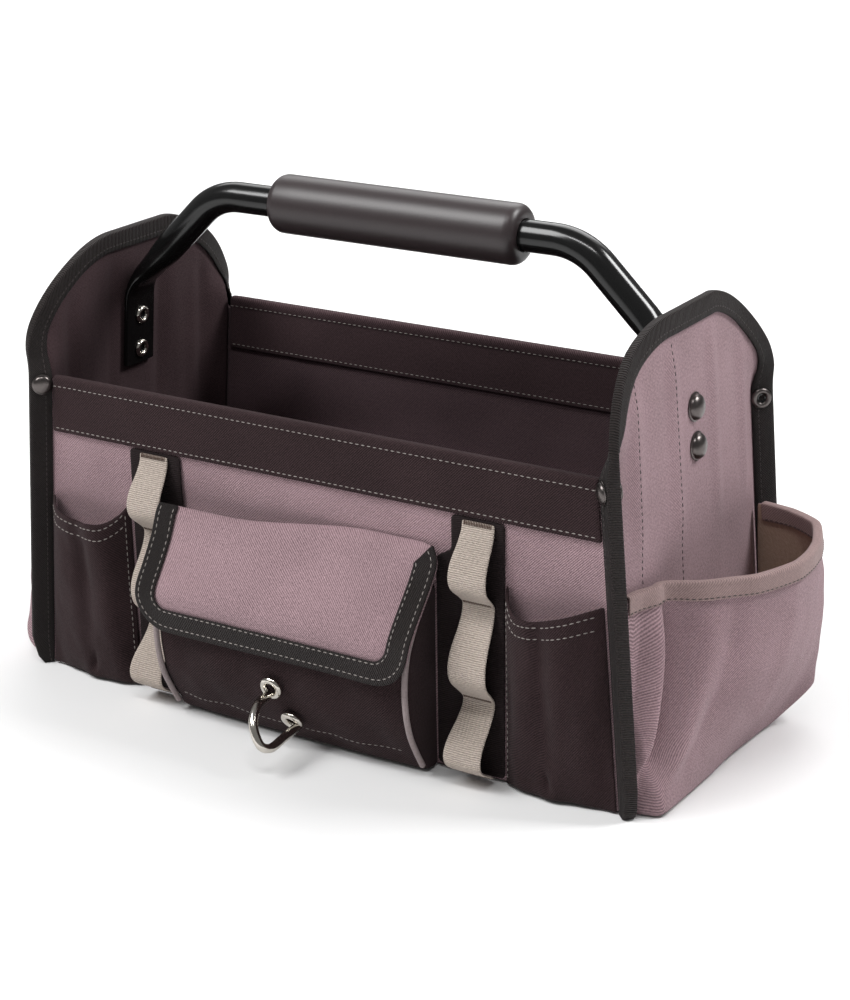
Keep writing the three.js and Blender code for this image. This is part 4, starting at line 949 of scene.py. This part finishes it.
def end_pocket_point(at, v, slackness):
    hem_y, hem, belly, foot_y, foot, lift, slack = (
        mix(straight(END_POCKET, "at", at, c), curved(END_POCKET, "at", at, c), ROUNDED)
        for c in ("hem_y", "hem", "belly", "foot_y", "foot", "lift", "slack"))
    share = max(v, 0)
    z = mix(END_POCKET_FOOT + max(lift, 0), END_POCKET_HEM, share)
    out = mix(foot, hem, share) + (belly - mix(foot, hem, BELLY_AT)) * math.sin(math.pi * share)
    y = mix(foot_y, hem_y, share)
    out += slackness * slack * math.sin(math.pi * share ** SLACK_SINK)
    out += pleat_stand(y, share) * ease(at / SEWN_EDGE)
    return end_point(y, z) + Vector((max(out, CLEAR_OF_PANEL) if v >= 0 else CLEAR_OF_PANEL, 0, 0))


def end_pocket_cloth(side, slackness):
    def point(at, v):
        place = end_pocket_point(at, v, slackness)
        free = ease((at - LOOSE_FROM) / 1.5) * ease((LOOSE_TO - at) / 1.2)
        free *= ease(v / 0.15) * ease((LOOSE_BELOW_HEM - v) / 0.12)
        place.x += free * (crumple((side * 90, place.y, 0.6 * place.z), 30, 2.4)
                           + crumple((side * 130, place.y, place.z), 11, 0.6))
        return turned(place, side)

    return point


def hem_station(at, slackness):
    edge = end_pocket_point(at, 1, slackness)
    inward = (end_pocket_point(at, 0.9, slackness) - edge).normalized()
    way = (end_pocket_point(at + 0.1, 1, slackness) - end_pocket_point(at - 0.1, 1, slackness)).normalized()
    depth = CLOTH / 2 + HEM_GAP
    return {"edge": edge, "inward": inward, "normal": inward.cross(way).normalized(), "leg": HEM_LEG,
            "over": depth, "under": depth, "gap": GAP}


for name, side in ENDS.items():
    slackness = SLACKNESS[name]
    made = end_pocket_cloth(side, slackness)
    cloth(f"end_pocket_{name}", steps(0, 9, 126), pocket_rows, made, CLOTH,
          grey_canvas, brown_lining_painted_light, (side, 0, 0))
    hem_stations = [hem_station(at, slackness) for at in steps(HEM_FROM, HEM_TO, 110)]
    hem = cloth(f"end_pocket_hem_{name}", range(len(hem_stations)), fold_run,
                lambda k, v: turned(folded(hem_stations[k], v), side), TAPE,
                hem_tape, hem_tape, (side, 0, 0))
    for v in HEM_ROWS:
        sew("dark", hem, tape_line(hem_stations, v, side), pitch=PITCH["tape"])

# %% [markdown]
# The handle is a round steel tube. Its maker presses the ends flat, then bends it, and it is made the
# same way here: a circle is extruded into a straight tube, and each ring is then pressed and put at
# its place along the bent run. Blender's bend tool needs a window, so the bend is worked out in code.

# %% Handle tube
TUBE_RADIUS, TUBE_SIDES, LEG_ANGLE, SHOULDER_RADIUS, KNEE_RADIUS = 10.0, 40, math.radians(44), 45.0, 30.0
PLATE_HALF, PLATE_DEPTH, PLATE_TOP, PLATE_BOTTOM, PLATE_SQUARE = 15.0, 2.1, 236.0, 190.0, 0.55
GRIP_HEIGHT, KNEE_FLATNESS, PRESSED_FROM = 314.0, 0.42, 0.55
SMOOTH_ANGLE = {"tube": 50, "grip": 40, "rivet": 35}
low_x, high_x = END_PROFILE["strip"][2:]
low_z, high_z = END_PROFILE["z"][2:]
slope = math.atan2(low_x - high_x, high_z - low_z)
strip_normal = Vector((math.cos(slope), 0, math.sin(slope)))


def plate_at(z):
    return end_point(0, z) - strip_normal * (CLOTH / 2 + GAP + PLATE_DEPTH)


def arc(radius, start, end):
    return Vector((math.sin(end) - math.sin(start), 0, math.cos(end) - math.cos(start))) * radius


plate_turn = math.pi / 2 - slope
knee_start = plate_at(PLATE_TOP) - arc(KNEE_RADIUS, LEG_ANGLE, plate_turn)
leg_z = GRIP_HEIGHT + arc(SHOULDER_RADIUS, 0, LEG_ANGLE).z
leg_start = Vector((knee_start.x - (leg_z - knee_start.z) / math.tan(LEG_ANGLE), 0, leg_z))
shoulder_start = leg_start - arc(SHOULDER_RADIUS, 0, LEG_ANGLE)
run = [(Vector((x, 0, GRIP_HEIGHT)), 0, 0) for x in steps(0, shoulder_start.x, 6)[:-1]]
run += [(shoulder_start + arc(SHOULDER_RADIUS, 0, a), a, 0) for a in steps(0, LEG_ANGLE, 10)]
for t in steps(0, 1, 10)[1:-1]:
    pressing = ease((t - PRESSED_FROM) / (1 - PRESSED_FROM))
    run.append((leg_start.lerp(knee_start, t), LEG_ANGLE, KNEE_FLATNESS * pressing))
for t in steps(0, 1, 10):
    turn = mix(LEG_ANGLE, plate_turn, t)
    run.append((knee_start + arc(KNEE_RADIUS, LEG_ANGLE, turn), turn, mix(1, KNEE_FLATNESS, (1 - t) ** 2)))
run += [(plate_at(z), plate_turn, 1) for z in steps(PLATE_TOP, PLATE_BOTTOM, 8)[1:]]
handle_run = [(turned(p, -1), -turn, flat) for p, turn, flat in run[:0:-1]] + run

bpy.ops.mesh.primitive_circle_add(vertices=TUBE_SIDES, radius=TUBE_RADIUS * MM, fill_type="NGON")
tube = bpy.context.active_object
tube.name = "handle_tube_painted"
bpy.ops.object.mode_set(mode="EDIT")
for k in range(len(handle_run) - 1):
    bpy.ops.mesh.extrude_region_move(TRANSFORM_OT_translate={"value": (0, 0, 1)})
bpy.ops.object.mode_set(mode="OBJECT")


def pressed(value, power):
    return math.copysign(abs(value) ** power, value)


for vertex in tube.data.vertices:
    place, turn, flat = handle_run[round(vertex.co.z)]
    around = math.atan2(vertex.co.y, vertex.co.x)
    power = mix(1, PLATE_SQUARE, flat)
    width = mix(TUBE_RADIUS, PLATE_HALF, flat) * pressed(math.cos(around), power)
    depth = mix(TUBE_RADIUS, PLATE_DEPTH, flat) * pressed(math.sin(around), power)
    across = Vector((math.sin(turn), 0, math.cos(turn))) * depth + Vector((0, width, 0))
    vertex.co = (place + across) * MM
make_active(tube)
bpy.ops.object.mode_set(mode="EDIT")
bpy.ops.mesh.select_all(action="SELECT")
bpy.ops.mesh.normals_make_consistent(inside=False)
bpy.ops.object.mode_set(mode="OBJECT")
bpy.ops.object.shade_smooth_by_angle(angle=math.radians(SMOOTH_ANGLE["tube"]))
tube.data.materials.append(paint)
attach(tube, "root")
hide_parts("handle_tube")
print("handle rings", len(handle_run))

# %% [markdown]
# The grip is a foam sleeve pushed on to the tube, with its ends rounded over. Its section is drawn as
# one closed outline, from the bore out round the soft rim and back, and spun about the tube's axis.

# %% Foam grip
GRIP_RADIUS, GRIP_LENGTH, GRIP_BORE, GRIP_ROUNDING, GRIP_SHIFT = 19.0, 181.0, 10.4, 7.0, 5.0
SPIN_STEPS = {"grip": 64, "rivet": 32}
MERGE = 0.02 * MM


def spun(name, profile, count, closed=False):
    edges = [(k, k + 1) for k in range(len(profile) - 1)]
    if closed:
        edges.append((len(profile) - 1, 0))
    mesh = bpy.data.meshes.new(name)
    mesh.from_pydata([(r * MM, 0, h * MM) for r, h in profile], edges, [])
    piece = new_piece(name, mesh)
    bpy.ops.object.mode_set(mode="EDIT")
    bpy.ops.mesh.select_all(action="SELECT")
    bpy.ops.mesh.spin(steps=count, angle=math.tau, center=(0, 0, 0), axis=(0, 0, 1))
    bpy.ops.mesh.select_all(action="SELECT")
    bpy.ops.mesh.remove_doubles(threshold=MERGE)
    bpy.ops.mesh.normals_make_consistent(inside=False)
    bpy.ops.object.mode_set(mode="OBJECT")
    return piece


def standing(origin, axis):
    return Matrix.Translation(origin * MM) @ axis.to_track_quat("Z", "Y").to_matrix().to_4x4()


def placed(piece, origin, axis, angle):
    piece.data.transform(standing(origin, axis))
    make_active(piece)
    bpy.ops.object.shade_smooth_by_angle(angle=math.radians(angle))
    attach(piece, "root")


level_half = GRIP_LENGTH / 2 - GRIP_ROUNDING
rim = [(GRIP_RADIUS - GRIP_ROUNDING * (1 - math.sin(a)), level_half + GRIP_ROUNDING * math.cos(a))
       for a in steps(0, math.pi / 2, 8)]
sleeve = [(GRIP_RADIUS, h) for h in steps(level_half, -level_half, 12)]
grip_profile = [(GRIP_BORE, GRIP_LENGTH / 2)] + rim + sleeve[1:-1] + [(r, -h) for r, h in rim[::-1]]
grip_profile.append((GRIP_BORE, -GRIP_LENGTH / 2))
grip = spun("handle_grip_foam", grip_profile, SPIN_STEPS["grip"], closed=True)
grip.data.materials.append(foam)
placed(grip, Vector((GRIP_SHIFT, 0, GRIP_HEIGHT)), Vector((1, 0, 0)), SMOOTH_ANGLE["grip"])
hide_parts("handle_grip")
print("grip faces", len(grip.data.polygons))

# %% [markdown]
# Rivets are turned parts: a domed head with a thin flange, a shank, and behind the cloth a rolled
# ring round a deep eye, whose inside is painted black as painted shade. One rule gives the outline of
# both sizes, and each rivet is spun from it: four for the handle's ends, with bright rings, and four
# for the corner seams, with dark ones.

# %% Rivets
RIVETS = {
    "handle": {"head": 9.0, "dome": 5.6, "shank": 2.6, "ring": 6.3, "ring_height": 2.0, "finish": nickel,
               "front": CLOTH / 2, "behind": CLOTH / 2 + GAP + 2 * PLATE_DEPTH},
    "corner": {"head": 6.9, "dome": 3.6, "shank": 2.2, "ring": 6.6, "ring_height": 1.6, "finish": gunmetal,
               "front": CLOTH + GAP / 2 + BINDING_GAP + TAPE, "behind": CLOTH + GAP / 2 + BINDING_GAP + TAPE},
}
RIVET_GAP, FLANGE, PAINTED_SHADE_EYE_RIM, EYE_DEPTH = 0.3, 0.9, 0.45, 2.2
HANDLE_RIVET_HEIGHTS, CORNER_RIVET_HEIGHT = {"upper": 224.0, "lower": 200.0}, 202.0


def rivet_profile(size):
    top, foot = size["front"] + RIVET_GAP, -size["behind"] - RIVET_GAP
    head, ring, rise = size["head"], size["ring"], size["ring_height"]
    dome_foot, dome_edge, dome = top + FLANGE, head * 0.9, size["dome"] - FLANGE
    quarter, rolled = steps(0, math.pi / 2, 8), steps(0.2, math.pi - 0.2, 8)
    profile = [(dome_edge * math.sin(a), dome_foot + dome * math.cos(a)) for a in quarter]
    profile += [(head * 0.94, dome_foot - 0.1), (head, top + FLANGE * 0.55), (head, top + 0.15)]
    profile += [(head - 0.2, top), (size["shank"], top), (size["shank"], foot), (ring, foot)]
    profile += [(ring * 0.72 + ring * 0.28 * math.cos(a), foot - rise * math.sin(a)) for a in rolled]
    eye = size["shank"] - 0.4
    profile += [(ring * 0.43, foot - rise * 0.3), (eye, foot)]
    return profile + [(eye, foot + EYE_DEPTH), (0, foot + EYE_DEPTH)]


def rivet(name, size, origin, axis):
    piece = spun(name, rivet_profile(size), SPIN_STEPS["rivet"])
    mesh = piece.data
    for finish in (gunmetal, size["finish"], paint):
        mesh.materials.append(finish)
    for face in mesh.polygons:
        # Faces inside the eye get black paint: painted shade in the hole.
        eye = math.hypot(face.center.x, face.center.y) < size["ring"] * PAINTED_SHADE_EYE_RIM * MM
        face.material_index = 0 if face.center.z > 0 else 2 if eye else 1
    placed(piece, origin, axis, SMOOTH_ANGLE["rivet"])
    return piece


for name, side in ENDS.items():
    for place, z in HANDLE_RIVET_HEIGHTS.items():
        middle = end_point(0, z)
        made = rivet(f"handle_rivet_{place}_{name}_turned", RIVETS["handle"],
                     turned(middle, side), turned(strip_normal, side))
        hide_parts(f"handle_rivet_{place}_{name}")
    for place, front in (("front", -1), ("back", 1)):
        axis = Vector((-1, front, -CORNER_LEAN)).normalized()
        middle = end_point(front * (ROOT_AT + SEAM_WIDTH / 2), CORNER_RIVET_HEIGHT) + axis * LAYER / 2
        made = rivet(f"corner_rivet_{place}_{name}_turned", RIVETS["corner"],
                     turned(middle, side), turned(axis, side))
        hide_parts(f"corner_rivet_{place}_{name}")

# %% [markdown]
# A bright wire hook stands on the pouch. Its two eyes are rings that lie on the cloth, and the wire
# bows out from one to the other. The rings are tori and the bow is a curve, joined into one piece.

# %% Wire hook
HOOK_WIRE, EYE_WIRE, EYE_RADIUS = 2.9, 2.3, 5.4
HOOK_EYES = {"upper": {"x": -4, "z": 48, "tail": -1.9}, "lower": {"x": 4, "z": 25, "tail": -0.7}}
HOOK_BOW = table("down out", (0.06, 15), (0.4, 30), (0.88, 38), (1.08, 33), (1.05, 19))

ends = {}
rings = []
for name, eye in HOOK_EYES.items():
    facing = pouch_facing(eye["z"])
    centre = pouch_point(eye["x"] - POUCH_X, POUCH_MIDDLE, eye["z"])
    centre += facing * (CLOTH / 2 + 2 * GAP + EYE_WIRE)
    bpy.ops.object.select_all(action="DESELECT")
    bpy.ops.mesh.primitive_torus_add(
        major_radius=EYE_RADIUS * MM, minor_radius=EYE_WIRE * MM, major_segments=40, minor_segments=20)
    ring = bpy.context.active_object
    ring.data.transform(standing(centre, facing))
    ring.data.shade_smooth()
    rings.append(ring)
    across = Vector((1, 0, 0))
    tail = across * math.cos(eye["tail"]) + facing.cross(across) * math.sin(eye["tail"])
    ends[name] = centre + tail * EYE_RADIUS
bow = [ends["upper"].lerp(ends["lower"], down) - Vector((0, out, 0))
       for down, out in zip(HOOK_BOW["down"], HOOK_BOW["out"])]
hook = cord_mesh("wire_hook_bent", smooth_line([ends["upper"], *bow, ends["lower"]], 12), HOOK_WIRE)
for ring in rings:
    ring.select_set(True)
bpy.context.view_layer.objects.active = hook
bpy.ops.object.join()
hook.data.materials.clear()
hook.data.materials.append(nickel)
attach(hook, "root")
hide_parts("wire_hook")
print("hook faces", len(hook.data.polygons))

# %% [markdown]
# The bag's floor is a stiff board covered in black cloth. It is cut to the tray's outline, a little
# short of the walls.

# %% Floor board
BASE_THICKNESS, BASE_GAP = 3.0, 0.35


def base_cloth(u, v):
    y = v * (WALL_Y - CLOTH / 2 - BASE_GAP)
    edge = end_point(min(abs(v) * ROOT_AT, ROOT_AT - 2), 0).x - CLOTH / 2 - BASE_GAP
    return u * edge, y, BASE_THICKNESS / 2


cloth("base_panel", steps(-1, 1, 40), steps(-1, 1, 24), base_cloth, BASE_THICKNESS,
      black_canvas, black_canvas, (0, 0, 1), levels=0)

# %% [markdown]
# Now the thread. One stitch is a small bead, pulled long. It is modelled once, and every place that
# was collected gets a copy, turned along its seam and pressed on to the cloth.

# %% Stitches
STITCH = {"pale": (2.8, 0.4), "dark": (2.6, 0.4), "brown": (3.2, 0.45)}
THREADS = {"pale": pale_thread, "dark": dark_thread, "brown": brown_thread}

bpy.ops.object.select_all(action="DESELECT")
bpy.ops.mesh.primitive_uv_sphere_add(segments=6, ring_count=4, radius=1)
bead = bpy.context.active_object
bead_points = [v.co.copy() for v in bead.data.vertices]
bead_faces = [tuple(face.vertices) for face in bead.data.polygons]
for name, spots in seams.items():
    length, radius = STITCH[name]
    points, faces = [], []
    for spot, way, normal in spots:
        way = way.normalized()
        turn = Matrix((way, normal.cross(way), normal)).transposed()
        start = len(points)
        shape = Vector((length / 2, radius, radius)) * MM
        points += [spot + turn @ Vector((p.z * shape.x, p.x * shape.y, p.y * shape.z)) for p in bead_points]
        faces += [tuple(start + k for k in face) for face in bead_faces]
    mesh = bpy.data.meshes.new(f"{name}_stitches")
    mesh.from_pydata(points, [], faces)
    mesh.shade_smooth()
    mesh.materials.append(THREADS[name])
    stitches = new_piece(f"{name}_stitches", mesh)
    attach(stitches, "root")
    print(name, "stitches", len(spots))
bpy.data.objects.remove(bead)
